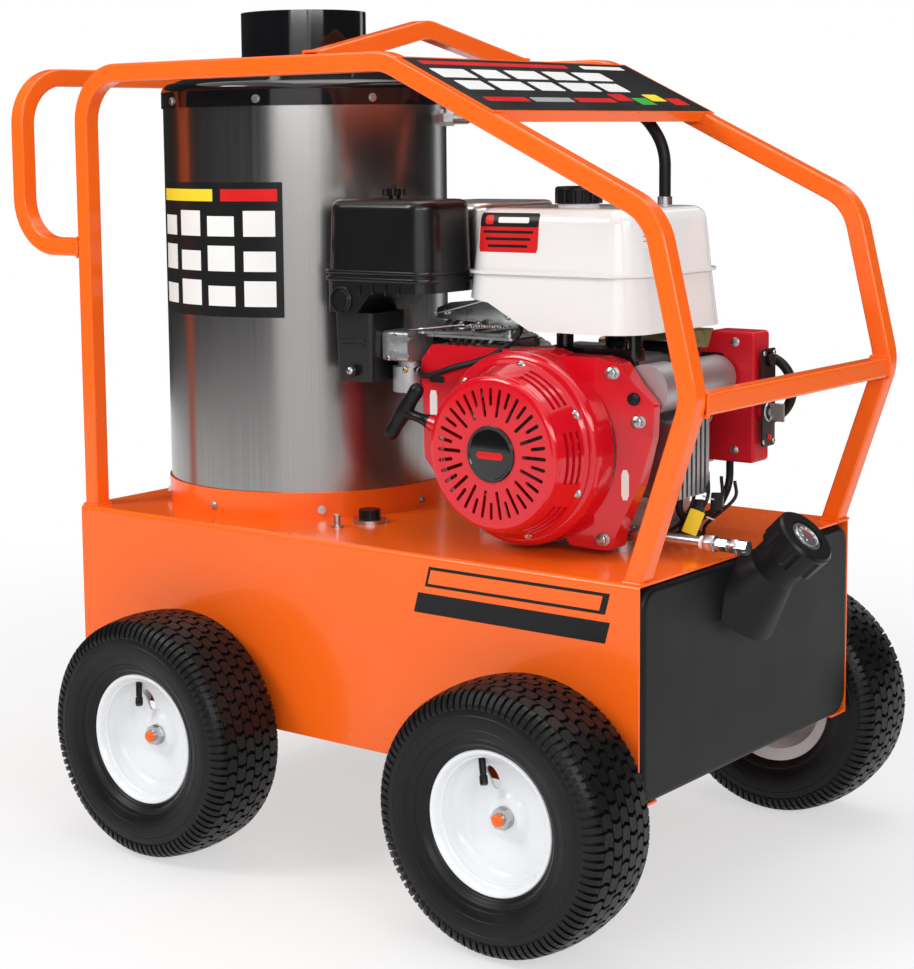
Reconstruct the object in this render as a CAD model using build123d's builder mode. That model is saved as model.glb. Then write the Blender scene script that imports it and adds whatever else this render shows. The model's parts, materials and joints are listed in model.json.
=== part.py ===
from build123d import *
import os
from math import cos, hypot, radians, sin, sqrt, tan

# Portable hot-water pressure washer: sheet-metal chassis on four wheels, bent square-tube
# cage, vertical boiler, single-cylinder engine with a direct-driven pump.
# Millimetres. +X points to the fuel-tank end, -Y to the recoil-starter side, +Z up.
# The origin is on the floor, in the middle of the machine's overall box.

os.makedirs("parts", exist_ok=True)

# ------------------------------------------------------------------ driving sizes
# wheels
tyre_od = 334.0
tyre_width = 125.0
tyre_wall = 9.0
wheel_gap = 12.0              # between a tyre and the side of the box
wheelbase = 583.0
rim_flange_r = 89.4
rim_barrel_r = 78.0
rim_width = 94.0
rim_sheet = 3.0
hub_r = 21.0
hub_face = 15.0               # hub's outer face from the tyre's centre plane
hub_depth = 50.0
axle_r = 8.0
running_fit = 0.05            # radial clearance of shafts in their bores
seat_gap = 0.3                # clearance between faces of pieces that move apart

# chassis box
chassis_l = 950.0
chassis_w = 536.0
chassis_h = 271.0
deck_z = 448.0
sheet = 3.0
flange_w = 42.0
deck_edge_r = 6.0

# cage of bent square tube
tube = 25.4
tube_wall = 2.0
tube_corner = 3.5
bend_r = 70.0
cage_inset = 6.0
post_inset = 2.0
rail_top_z = 1080.0
slope_start = 381.0           # rail end of the slope, back from the chassis front
knee_out = 10.0               # knee beyond the chassis front
knee_z = 880.0
elbow_out = 61.0              # lower bend beyond the chassis front
elbow_z = 668.6
foot_back = 13.4              # foot centre behind the chassis front
handle_reach = 134.0
handle_arm_z = 822.0
arch_back = 520.0             # lifting arch behind the chassis front
arch_end_z = 1072.0
arch_peak_z = 1121.0
panel_start = 19.0            # along the slope from the rail corner
panel_len = 164.0
panel_lip = 12.0
panel_sheet = 2.0

# fuel tank at the front of the chassis
tank_depth = 200.0
tank_gap = 2.0
tank_proud = 3.0
tank_corner_r = 28.0
neck_out = 63.0               # cap seat in front of the chassis
neck_seat_z = 454.0
neck_y = -22.0
neck_tilt = 45.0
neck_r = 33.0
neck_root_r = 60.0
neck_len = 100.0
neck_spigot_r = 26.0
neck_spigot_h = 26.0
cap_r = 40.0
cap_h = 36.0
cap_lobes = 8
gauge_r = 21.0

# boiler
boiler_r = 206.0
boiler_wall = 1.5
boiler_back = 739.0           # boiler axis behind the chassis front
shell_top_z = 1018.0
ring_h = 36.0
ring_wall = 3.0
cap_band_h = 28.0
cap_top_z = 1086.0
flue_r = 90.5
flue_wall = 2.0
flue_top_z = 1153.0
coil_r = 150.0
coil_pipe_r = 13.0
coil_turns = 14

# engine; the crankshaft runs along Y
crank_back = 235.0            # crank axis behind the chassis front
crank_h = 132.0               # crank axis above the deck
recoil_front_y = -237.0
recoil_depth = 50.0
recoil_disc_r = 90.0
recoil_flange_r = 114.0
recoil_sheet = 2.5
shroud_r = 125.0
shroud_step = 37.0
shroud_plate = 38.0
shroud_wall = 3.0
case_half_w = 92.0
case_len = 208.0
case_top_h = 110.0            # crankcase top above the crank axis
feet_h = 12.0
shaft_r = 15.0
flywheel_r = 96.0
barrel_angle = 25.0

# high-pressure line
hose_r = 8.0
ferrule_r = 10.0

# ------------------------------------------------------------------ derived stations
neck_sin = sin(radians(neck_tilt))
neck_cos = cos(radians(neck_tilt))
cap_chamfer = 3.0
front_reach = neck_out + cap_h * neck_sin + (cap_r - cap_chamfer) * neck_cos
x_mid = (handle_reach - front_reach) / 2
x_front = x_mid + chassis_l / 2
x_rear = x_mid - chassis_l / 2
chassis_bottom = deck_z - chassis_h
half_w = chassis_w / 2

tyre_r = tyre_od / 2
axle_z = tyre_r
wheel_front_x = x_front - 130.0
wheel_rear_x = wheel_front_x - wheelbase
wheel_y = (chassis_w + tyre_width) / 2 + wheel_gap

cage_y = half_w - cage_inset - tube / 2
cage_inner_y = cage_y - tube / 2
post_x = x_rear + post_inset + tube / 2
rail_z = rail_top_z - tube / 2

boiler_x = x_front - boiler_back
boiler_axis = (boiler_x, 0)
crank_x = x_front - crank_back
crank_z = deck_z + crank_h
recoil_back_y = recoil_front_y + recoil_depth
shroud_mid_y = recoil_back_y + shroud_step
shroud_back_y = shroud_mid_y + shroud_plate
case_front_y = shroud_back_y
case_back_y = case_front_y + case_len
case_right_x = crank_x + case_half_w


# ------------------------------------------------------------------ helpers
def facing_y(y):
    """Plane seen from the recoil side: sketch x is +X, sketch y is +Z."""
    return Plane(origin=(0, y, 0), x_dir=(1, 0, 0), z_dir=(0, -1, 0))


def facing_x(x):
    """Plane seen from the tank end: sketch x is +Y, sketch y is +Z."""
    return Plane(origin=(x, 0, 0), x_dir=(0, 1, 0), z_dir=(1, 0, 0))


def save(piece, label):
    """Name a finished piece and write it."""
    piece.part.label = label
    export_step(piece.part, f"parts/{label}.step")


def square_tube(points, side):
    """Hollow square tube along a route with rounded bends; side is across the bends."""
    with BuildPart() as run:
        with BuildLine() as route:
            FilletPolyline(*points, radius=bend_r)
        start = Plane(origin=route.line @ 0, x_dir=side, z_dir=route.line % 0)
        with BuildSketch(start):
            RectangleRounded(tube, tube, tube_corner)
            inner = tube - 2 * tube_wall
            RectangleRounded(inner, inner, tube_corner - tube_wall, mode=Mode.SUBTRACT)
        sweep()
    return run


def round_hose(points, radii, radius):
    """Solid round hose along straight runs joined by tangent arcs."""
    with BuildPart() as run:
        with BuildLine() as route:
            FilletPolyline(*points, radius=radii)
        with BuildSketch(Plane(origin=route.line @ 0, z_dir=route.line % 0)):
            Circle(radius)
        sweep()
    return run


def route_radii(points):
    """Largest even arcs for a hose: 0.45 of the shorter run over tan of half the turn."""
    radii = []
    for before, here, after in zip(points, points[1:], points[2:]):
        first = Vector(*here) - Vector(*before)
        second = Vector(*after) - Vector(*here)
        turn = radians(first.get_angle(second))
        radii.append(0.45 * min(first.length, second.length) / tan(turn / 2))
    return radii


# ------------------------------------------------------------------ chassis box
with BuildPart() as chassis_box:
    with BuildSketch(Plane.XY.offset(chassis_bottom)):
        with Locations((x_mid, 0)):
            Rectangle(chassis_l, chassis_w)
    extrude(amount=chassis_h)
    long_top = chassis_box.edges().filter_by(Axis.X).group_by(Axis.Z)[-1]
    fillet(long_top, deck_edge_r)
    with BuildSketch(Plane.XY.offset(chassis_bottom + sheet)):
        with Locations((x_mid + sheet, 0)):
            Rectangle(chassis_l, chassis_w - 2 * sheet)
    extrude(amount=chassis_h - 2 * sheet, mode=Mode.SUBTRACT)
    with BuildSketch(Plane.XY.offset(chassis_bottom - sheet)):
        with Locations((x_mid + flange_w, 0)):
            Rectangle(chassis_l, chassis_w - 2 * flange_w)
    extrude(amount=3 * sheet, mode=Mode.SUBTRACT)
    # burner opening under the boiler
    burner_hole_r = 62.0
    with BuildSketch(Plane.XY.offset(deck_z - 2 * sheet)):
        with Locations(boiler_axis):
            Circle(burner_hole_r)
    extrude(amount=3 * sheet, mode=Mode.SUBTRACT)
save(chassis_box, "chassis_box")

# ------------------------------------------------------------------ cage
for label, side in (("cage_near", -1), ("cage_far", 1)):
    y = side * cage_y
    foot_dx = elbow_out + foot_back
    foot_dz = elbow_z - deck_z
    past = 0.15               # share of the foot run that is trimmed off at the deck
    frame_points = [
        (post_x, y, deck_z),
        (post_x, y, rail_z),
        (x_front - slope_start, y, rail_z),
        (x_front + knee_out, y, knee_z),
        (x_front + elbow_out, y, elbow_z),
        (x_front - foot_back - past * foot_dx, y, deck_z - past * foot_dz),
    ]
    cage = square_tube(frame_points, (0, 1, 0))
    with BuildPart() as trimmed:
        add(cage.part)
        split(bisect_by=Plane.XY.offset(deck_z), keep=Keep.TOP)
    save(trimmed, label)

handle_x = x_rear - handle_reach + tube / 2
post_back_x = post_x - tube / 2
rear_handle = square_tube([
    (post_back_x, -cage_y, handle_arm_z),
    (handle_x, -cage_y, handle_arm_z),
    (handle_x, -cage_y, rail_z),
    (handle_x, cage_y, rail_z),
    (handle_x, cage_y, handle_arm_z),
    (post_back_x, cage_y, handle_arm_z),
], (0, 1, 0))
save(rear_handle, "rear_handle")

arch_x = x_front - arch_back
arch_slope = (arch_peak_z - arch_end_z) / cage_inner_y
arch_over = 30.0              # length past each rail that is trimmed off
arch_low = arch_end_z - arch_over * arch_slope
arch_run = square_tube([
    (arch_x, -cage_inner_y - arch_over, arch_low),
    (arch_x, 0, arch_peak_z),
    (arch_x, cage_inner_y + arch_over, arch_low),
], (1, 0, 0))
elbow_pull = 2.5              # the bend passes this far inside the elbow's corner
elbow_drop = 6.0
tube_inner = tube - 2 * tube_wall
with BuildPart() as cross_members:
    add(arch_run.part)
    split(bisect_by=Plane.XZ.offset(cage_inner_y), keep=Keep.BOTTOM)
    split(bisect_by=Plane.XZ.offset(-cage_inner_y), keep=Keep.TOP)
    # straight bar between the two front elbows
    with BuildSketch(facing_y(cage_inner_y)):
        with Locations((x_front + elbow_out - elbow_pull, elbow_z - elbow_drop)):
            RectangleRounded(tube, tube, tube_corner)
            RectangleRounded(tube_inner, tube_inner, tube_corner - tube_wall,
                             mode=Mode.SUBTRACT)
    extrude(amount=2 * cage_inner_y)
save(cross_members, "cage_cross_members")

# sheet across both slopes
slope_dx = slope_start + knee_out
slope_dz = rail_z - knee_z
slope_len = hypot(slope_dx, slope_dz)
slope_dir = (slope_dx / slope_len, 0, -slope_dz / slope_len)
slope_up = (slope_dz / slope_len, 0, slope_dx / slope_len)
panel_origin = (
    x_front - slope_start + slope_up[0] * tube / 2,
    0,
    rail_z + slope_up[2] * tube / 2,
)
panel_plane = Plane(origin=panel_origin, x_dir=slope_dir, z_dir=slope_up)
with BuildPart() as sign_panel:
    with BuildSketch(panel_plane):
        with Locations((panel_start + panel_len / 2, 0)):
            Rectangle(panel_len, 2 * cage_y + tube)
    extrude(amount=panel_sheet)
    with BuildSketch(panel_plane):
        for edge_s in (panel_start + panel_sheet / 2, panel_start + panel_len - panel_sheet / 2):
            with Locations((edge_s, 0)):
                Rectangle(panel_sheet, 2 * cage_inner_y - 2 * seat_gap)
    extrude(amount=-panel_lip)
save(sign_panel, "sign_panel")

# ------------------------------------------------------------------ fuel tank and cap
tank_front_x = x_front + tank_proud
tank_low = chassis_bottom + sheet
tank_top = deck_z - sheet - tank_gap
neck_axis = (neck_sin, 0, neck_cos)
neck_seat = Plane(
    origin=(x_front + neck_out, neck_y, neck_seat_z),
    x_dir=(neck_cos, 0, -neck_sin),
    z_dir=neck_axis,
)
with BuildPart() as fuel_tank:
    with BuildSketch(facing_x(tank_front_x)):
        with Locations((0, (tank_low + tank_top) / 2)):
            RectangleRounded(chassis_w - 2 * sheet - 2 * tank_gap, tank_top - tank_low, tank_corner_r)
    extrude(amount=-tank_depth)
    fillet(fuel_tank.faces().sort_by(Axis.X)[-1].edges(), 8.0)
    # conical root and straight neck of the filler
    with BuildSketch(neck_seat.offset(-neck_len)):
        Circle(neck_root_r)
    with BuildSketch(neck_seat.offset(-0.3 * neck_len)):
        Circle(neck_r)
    loft()
    with BuildSketch(neck_seat.offset(-0.3 * neck_len)):
        Circle(neck_r)
    extrude(amount=0.3 * neck_len)
    with BuildSketch(neck_seat):
        Circle(neck_spigot_r)
    extrude(amount=neck_spigot_h)
    # the deck's edge stays clear of the neck
    with BuildSketch(Plane.XY.offset(deck_z - sheet - tank_gap)):
        with Locations((x_front + tank_gap - tank_depth / 2, 0)):
            Rectangle(tank_depth, chassis_w)
    extrude(amount=3 * neck_r, mode=Mode.SUBTRACT)
    # filler bore
    filler_r = neck_spigot_r - 4
    with BuildSketch(neck_seat.offset(neck_spigot_h)):
        Circle(filler_r)
    extrude(amount=-0.9 * neck_len, mode=Mode.SUBTRACT)
save(fuel_tank, "fuel_tank")

with BuildPart() as fuel_cap:
    cap_base = neck_seat.offset(seat_gap)
    with BuildSketch(cap_base):
        Circle(cap_r)
    extrude(amount=cap_h - seat_gap)
    chamfer(fuel_cap.faces().sort_by(Axis(neck_seat.origin, neck_axis))[-1].edges(), cap_chamfer)
    # finger flutes between the lobes
    with BuildSketch(cap_base):
        with PolarLocations(cap_r + 4.0, cap_lobes, start_angle=180 / cap_lobes):
            Circle(7.5)
    extrude(amount=0.8 * cap_h, mode=Mode.SUBTRACT)
    # thread bore over the spigot, and the gauge's recess
    with BuildSketch(neck_seat):
        Circle(neck_spigot_r + seat_gap)
    extrude(amount=neck_spigot_h + seat_gap, mode=Mode.SUBTRACT)
    with BuildSketch(neck_seat.offset(cap_h)):
        Circle(gauge_r + 2)
    extrude(amount=-4.0, mode=Mode.SUBTRACT)
save(fuel_cap, "fuel_cap")

with BuildPart() as fuel_gauge:
    with BuildSketch(neck_seat.offset(cap_h - 4.0)):
        Circle(gauge_r)
    extrude(amount=3.0)
save(fuel_gauge, "fuel_gauge")

# ------------------------------------------------------------------ boiler
with BuildPart() as boiler_base_ring:
    with BuildSketch(Plane.XY.offset(deck_z)):
        with Locations(boiler_axis):
            Circle(boiler_r + ring_wall)
            Circle(boiler_r, mode=Mode.SUBTRACT)
    extrude(amount=ring_h)
save(boiler_base_ring, "boiler_base_ring")

with BuildPart() as boiler_shell:
    with BuildSketch(Plane.XY.offset(deck_z)):
        with Locations(boiler_axis):
            Circle(boiler_r)
            Circle(boiler_r - boiler_wall, mode=Mode.SUBTRACT)
    extrude(amount=shell_top_z - deck_z)
save(boiler_shell, "boiler_shell")

boiler_plane = Plane(origin=(boiler_x, 0, 0), x_dir=(1, 0, 0), z_dir=(0, -1, 0))
boiler_spin = Axis((boiler_x, 0, 0), (0, 0, 1))
cap_outer_r = boiler_r + 2.5
cap_sheet = 2.0
band_low_z = shell_top_z
band_top_z = band_low_z + cap_band_h
shoulder = 14.0
flue_bore_r = flue_r - flue_wall
with BuildPart() as boiler_cap:
    with BuildSketch(boiler_plane):
        with BuildLine():
            Polyline(
                (flue_bore_r, cap_top_z),
                (flue_r + 14, cap_top_z),
                (cap_outer_r - shoulder, band_top_z + 0.5 * shoulder),
            )
            RadiusArc((cap_outer_r - shoulder, band_top_z + 0.5 * shoulder),
                      (cap_outer_r, band_top_z - 0.4 * shoulder), shoulder)
            Polyline(
                (cap_outer_r, band_top_z - 0.4 * shoulder),
                (cap_outer_r, band_low_z),
                (boiler_r - 6, band_low_z),
                (boiler_r - 6, band_top_z - shoulder),
                (flue_r + 14, cap_top_z - 3 * cap_sheet),
                (flue_bore_r, cap_top_z - 3 * cap_sheet),
                (flue_bore_r, cap_top_z),
            )
        make_face()
    revolve(axis=boiler_spin)
save(boiler_cap, "boiler_cap")

with BuildPart() as flue_stack:
    with BuildSketch(Plane.XY.offset(cap_top_z)):
        with Locations(boiler_axis):
            Circle(flue_r)
            Circle(flue_bore_r, mode=Mode.SUBTRACT)
    extrude(amount=flue_top_z - cap_top_z)
save(flue_stack, "flue_stack")

with BuildPart() as heating_coil:
    core = 4.0
    with BuildSketch(boiler_plane):
        coil_low = deck_z + 70.0
        coil_high = coil_low + (coil_turns - 1) * 2 * coil_pipe_r
        with Locations((coil_r, (deck_z + coil_high) / 2)):
            Rectangle(core, coil_high - deck_z)
        for turn in range(coil_turns):
            with Locations((coil_r, coil_low + turn * 2 * coil_pipe_r)):
                Circle(coil_pipe_r - 0.6)
    revolve(axis=boiler_spin)
save(heating_coil, "heating_coil")

screw_count = 8
with BuildPart() as boiler_screws:
    for height, surface_r, phase in (
        (deck_z + ring_h / 3, boiler_r + ring_wall, 0.0),
        (band_low_z + cap_band_h / 3, cap_outer_r, 22.5),
    ):
        for step in range(screw_count):
            turn = radians(phase + step * 360 / screw_count)
            out = (cos(turn), sin(turn), 0)
            seat = Plane(
                origin=(boiler_x + surface_r * out[0], surface_r * out[1], height),
                x_dir=(0, 0, 1),
                z_dir=out,
            )
            with BuildSketch(seat):
                RegularPolygon(4.5, 6)
            extrude(amount=3.5)
            with BuildSketch(seat):
                Circle(6.0)
            extrude(amount=1.0)
save(boiler_screws, "boiler_screws")

# burner hung under the deck, firing up into the boiler
burner_flange_r = 95.0
burner_flange_t = 10.0
housing_r = 85.0
housing_h = 95.0
burner_motor_r = 48.0
burner_motor_h = 60.0
blast_gap = 12.0
blast_h = 60.0
housing_top = deck_z - sheet - burner_flange_t
with BuildPart() as burner:
    with BuildSketch(Plane.XY.offset(deck_z - sheet)):
        with Locations(boiler_axis):
            Circle(burner_flange_r)
    extrude(amount=-burner_flange_t)
    with BuildSketch(Plane.XY.offset(housing_top)):
        with Locations(boiler_axis):
            Circle(housing_r)
    extrude(amount=-housing_h)
    with BuildSketch(Plane.XY.offset(deck_z - sheet)):
        with Locations(boiler_axis):
            Circle(burner_hole_r - blast_gap)
    extrude(amount=blast_h)
    # blower motor below it
    with BuildSketch(Plane.XY.offset(housing_top - housing_h)):
        with Locations(boiler_axis):
            Circle(burner_motor_r)
    extrude(amount=-burner_motor_h)
    fillet(burner.faces().sort_by(Axis.Z)[0].edges(), 8)
save(burner, "burner")

# ------------------------------------------------------------------ axles
axle_end = hub_face + 15.0
with BuildPart() as axles:
    with BuildSketch(facing_y(wheel_y + axle_end)):
        with Locations((wheel_front_x, axle_z), (wheel_rear_x, axle_z)):
            Circle(axle_r)
    extrude(amount=2 * (wheel_y + axle_end))
    chamfer(axles.faces().filter_by(Axis.Y).edges(), 1.0)
save(axles, "axles")

saddle_y = half_w - flange_w / 2
with BuildPart() as axle_saddles:
    for x in (wheel_front_x, wheel_rear_x):
        for side in (-1, 1):
            with BuildSketch(facing_y(side * saddle_y + 12.5)):
                with Locations((x, chassis_bottom - 12)):
                    Rectangle(44, 24)
                with Locations((x, axle_z)):
                    Circle(axle_r + running_fit, mode=Mode.SUBTRACT)
            extrude(amount=25)
save(axle_saddles, "axle_saddles")

washer_t = 2.5
nut_t = 9.0
collar_t = 10.0
with BuildPart() as axle_nuts:
    for x in (wheel_front_x, wheel_rear_x):
        for side in (-1, 1):
            seats = (
                (hub_face + seat_gap, washer_t, 14.0, 0),
                (hub_face + seat_gap + washer_t, nut_t, 13.5, 6),
                (hub_face - hub_depth - seat_gap - collar_t, collar_t, 16.0, 0),
            )
            for start, thick, radius, sides in seats:
                near = side * (wheel_y + start)
                face = Plane(origin=(x, near, axle_z), x_dir=(1, 0, 0), z_dir=(0, side, 0))
                with BuildSketch(face):
                    if sides:
                        RegularPolygon(radius, sides)
                    else:
                        Circle(radius)
                    Circle(axle_r, mode=Mode.SUBTRACT)
                extrude(amount=thick)
save(axle_nuts, "axle_nuts")


# ------------------------------------------------------------------ wheels
def wheel_plane(x, side):
    """Section plane of a wheel: sketch x runs outboard along the axle, sketch y radially."""
    return Plane(origin=(x, side * wheel_y, axle_z), x_dir=(0, side, 0), z_dir=(side, 0, 0))


def make_tyre(x, side):
    """Turf tyre carcass, open towards the rim between its beads."""
    half = tyre_width / 2
    bead = rim_width / 2 - rim_sheet
    crown_w = half - 12.0
    widest_r = (tyre_r + rim_flange_r) / 2
    with BuildPart() as tyre:
        with BuildSketch(wheel_plane(x, side)):
            with BuildLine():
                Line((bead - tyre_wall, rim_barrel_r), (bead, rim_barrel_r))
                Line((bead, rim_barrel_r), (bead, rim_flange_r))
                Spline((bead, rim_flange_r), (half, widest_r), (crown_w, tyre_r - 5))
                ThreePointArc((crown_w, tyre_r - 5), (0, tyre_r), (-crown_w, tyre_r - 5))
                Spline((-crown_w, tyre_r - 5), (-half, widest_r), (-bead, rim_flange_r))
                Line((-bead, rim_flange_r), (-bead, rim_barrel_r))
                Line((-bead, rim_barrel_r), (tyre_wall - bead, rim_barrel_r))
                inner_w = crown_w - tyre_wall / 2
                Spline((tyre_wall - bead, rim_barrel_r), (tyre_wall - half, widest_r),
                       (-inner_w, tyre_r - 5 - tyre_wall))
                ThreePointArc((-inner_w, tyre_r - 5 - tyre_wall), (0, tyre_r - tyre_wall),
                              (inner_w, tyre_r - 5 - tyre_wall))
                Spline((inner_w, tyre_r - 5 - tyre_wall), (half - tyre_wall, widest_r),
                       (bead - tyre_wall, rim_barrel_r))
            make_face()
        revolve(axis=Axis((x, 0, axle_z), (0, 1, 0)))
    return tyre


valve_slot_len = 26.0
valve_slot_w = 13.0


def make_rim(x, side):
    """Pressed-steel rim with a dished disc, welded to a hub with a plain bore."""
    edge = rim_width / 2
    t = rim_sheet
    with BuildPart() as rim:
        with BuildSketch(wheel_plane(x, side)):
            Polygon(
                (-edge, rim_flange_r), (t - edge, rim_flange_r), (t - edge, rim_barrel_r),
                (edge - t, rim_barrel_r), (edge - t, rim_flange_r), (edge, rim_flange_r),
                (edge, rim_barrel_r - t), (-edge, rim_barrel_r - t), align=None)
            Polygon(
                (24, rim_barrel_r - t), (9, 62), (4, 48), (9, 30), (9, hub_r - 2),
                (9 - t, hub_r - 2), (9 - t, 30), (4 - t, 48), (9 - t, 62),
                (24 - t, rim_barrel_r - t), align=None)
            with Locations((hub_face - hub_depth / 2, (hub_r + axle_r + running_fit) / 2)):
                Rectangle(hub_depth, hub_r - axle_r - running_fit)
        revolve(axis=Axis((x, 0, axle_z), (0, 1, 0)))
        # valve hole
        with BuildSketch(Plane(origin=(x, side * (wheel_y + 30), axle_z),
                               x_dir=(1, 0, 0), z_dir=(0, -side, 0))):
            with Locations((-21, 47 * side)):
                SlotOverall(valve_slot_len, valve_slot_w, rotation=114 * side)
        extrude(amount=35, mode=Mode.SUBTRACT)
    return rim


for place, x in (("front", wheel_front_x), ("rear", wheel_rear_x)):
    for flank, side in (("near", -1), ("far", 1)):
        save(make_tyre(x, side), f"tyre_{place}_{flank}")
        save(make_rim(x, side), f"rim_{place}_{flank}")

# ------------------------------------------------------------------ engine block
case_mid_y = (case_front_y + case_back_y) / 2
feet_half_w = 118.0
with BuildPart() as crankcase:
    with BuildSketch(Plane.XY.offset(deck_z + feet_h)):
        with Locations((crank_x, case_mid_y)):
            RectangleRounded(2 * case_half_w, case_len, 10)
    extrude(amount=crank_h - feet_h + case_top_h)
    fillet(crankcase.faces().sort_by(Axis.Z)[-1].edges(), 8)
    with BuildSketch(Plane.XY.offset(deck_z)):
        with Locations((crank_x, case_mid_y)):
            RectangleRounded(2 * feet_half_w, case_len - 2, 14)
    extrude(amount=feet_h + 2)
    # feet are slotted for the deck bolts
    with BuildSketch(Plane.XY.offset(deck_z)):
        with Locations((crank_x, case_mid_y)):
            with GridLocations(2 * feet_half_w - 26, case_len - 80, 2, 2):
                SlotOverall(24, 9)
    extrude(amount=3 * feet_h, mode=Mode.SUBTRACT)
    # bearing boss of the driven end
    with BuildSketch(facing_y(case_back_y)):
        with Locations((crank_x, crank_z)):
            Circle(70)
    extrude(amount=-12)
    with BuildSketch(facing_y(case_front_y - 1)):
        with Locations((crank_x, crank_z)):
            Circle(shaft_r + running_fit)
    extrude(amount=-(case_len + 20), mode=Mode.SUBTRACT)
save(crankcase, "crankcase")

barrel_dir = (-cos(radians(barrel_angle)), 0, sin(radians(barrel_angle)))
barrel_mid_y = -10.0
barrel_start = case_half_w / cos(radians(barrel_angle)) + 32.0
barrel_plane = Plane(origin=(crank_x, barrel_mid_y, crank_z), x_dir=(0, 1, 0), z_dir=barrel_dir)
port_x = crank_x - 190.0
port_y = 25.0
port_top_z = crank_z + 180.0
with BuildPart() as cylinder_head:
    with BuildSketch(barrel_plane.offset(barrel_start)):
        RectangleRounded(84, 84, 12)
    extrude(amount=118)
    fin_gap = 11.0
    for fin in range(9):
        with BuildSketch(barrel_plane.offset(barrel_start + 6 + fin * fin_gap)):
            RectangleRounded(124, 118, 16)
        extrude(amount=4)
    with BuildSketch(barrel_plane.offset(barrel_start + 112)):
        RectangleRounded(104, 96, 14)
    extrude(amount=24)
    # exhaust port standing up to the muffler
    with BuildSketch(Plane.XY.offset(port_top_z)):
        with Locations((port_x, port_y)):
            Circle(17)
    extrude(amount=-60)
    # flange that meets the crankcase
    with BuildSketch(facing_x(crank_x - case_half_w)):
        with Locations((barrel_mid_y, crank_z + 45)):
            RectangleRounded(110, 100, 10)
    extrude(amount=-42)
save(cylinder_head, "cylinder_head")

with BuildPart() as crankshaft:
    with BuildSketch(facing_y(recoil_back_y + 12)):
        with Locations((crank_x, crank_z)):
            Circle(shaft_r)
    extrude(amount=-(case_back_y + 45 - recoil_back_y - 12))
save(crankshaft, "crankshaft")

blade_count = 18
flywheel_front_y = recoil_back_y + 22.0
flywheel_back_y = shroud_back_y - 6.0
with BuildPart() as flywheel_fan:
    with BuildSketch(facing_y(flywheel_back_y)):
        with Locations((crank_x, crank_z)):
            Circle(flywheel_r)
            Circle(shaft_r, mode=Mode.SUBTRACT)
    extrude(amount=12)
    with BuildSketch(facing_y(flywheel_back_y)):
        with Locations((crank_x, crank_z)):
            Circle(48)
            Circle(shaft_r, mode=Mode.SUBTRACT)
    extrude(amount=flywheel_back_y - flywheel_front_y)
    with BuildSketch(facing_y(flywheel_back_y)):
        with Locations((crank_x, crank_z)):
            with PolarLocations((46 + flywheel_r) / 2, blade_count):
                Rectangle(flywheel_r - 46 - 2, 3.0, rotation=18)
    extrude(amount=flywheel_back_y - flywheel_front_y - 4)
save(flywheel_fan, "flywheel_fan")

# ------------------------------------------------------------------ fan shroud and recoil starter
shroud_lobe_r = 8.0
left_lobe = [(-172, -30), (-128, -78), (-60, -112), (-20, 0), (0, 122), (-158, 122), (-176, 100)]
right_lobe = [(0, -40), (60, -122), (118, -124), (122, -104), (150, -40), (166, 20), (168, 62),
              (146, 84), (124, 112), (98, 118), (30, 118)]
left_hollow = [(-166, -26), (-125, -71), (-60, -104), (-26, 0), (-8, 115), (-153, 115), (-169, 97)]


def about_crank(points):
    """Outline points given around the crank axis, in the part's own frame."""
    return [(crank_x + px, crank_z + pz) for px, pz in points]


wedge_start = 96.0            # the shroud's right side falls back from here
wedge_run = 94.0
wedge_fall = 33.0
wedge_len = hypot(wedge_run, wedge_fall)
wedge_plane = Plane(
    origin=(crank_x + wedge_start, shroud_mid_y, crank_z),
    x_dir=(wedge_run / wedge_len, wedge_fall / wedge_len, 0),
    z_dir=(wedge_fall / wedge_len, -wedge_run / wedge_len, 0),
)
with BuildPart() as fan_shroud:
    with BuildSketch(facing_y(shroud_back_y)):
        for lobe in (left_lobe, right_lobe):
            with BuildLine():
                FilletPolyline(*about_crank(lobe), radius=shroud_lobe_r, close=True)
            make_face()
        with Locations((crank_x, crank_z)):
            Circle(shroud_r)
    extrude(amount=shroud_plate)
    with BuildSketch(wedge_plane):
        with Locations((wedge_len, 0)):
            Rectangle(2 * wedge_len, 3 * shroud_r)
    extrude(amount=2 * wedge_fall, mode=Mode.SUBTRACT)
    with BuildSketch(facing_y(shroud_mid_y + 2)):
        with Locations((crank_x, crank_z)):
            Circle(shroud_r - 1)
    extrude(amount=shroud_step + 2)
    fillet(fan_shroud.faces().sort_by(Axis.Y)[0].edges(), 11)
    with BuildSketch(facing_y(shroud_back_y)):
        with BuildLine():
            FilletPolyline(*about_crank(left_hollow), radius=shroud_lobe_r, close=True)
        make_face()
        with Locations((crank_x, crank_z)):
            Circle(shroud_r - shroud_wall)
    extrude(amount=shroud_plate - shroud_wall, mode=Mode.SUBTRACT)
    with BuildSketch(facing_y(shroud_back_y)):
        with Locations((crank_x, crank_z)):
            Circle(flywheel_r + 8)
    extrude(amount=shroud_plate + shroud_step + 2, mode=Mode.SUBTRACT)
save(fan_shroud, "fan_shroud")

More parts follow.
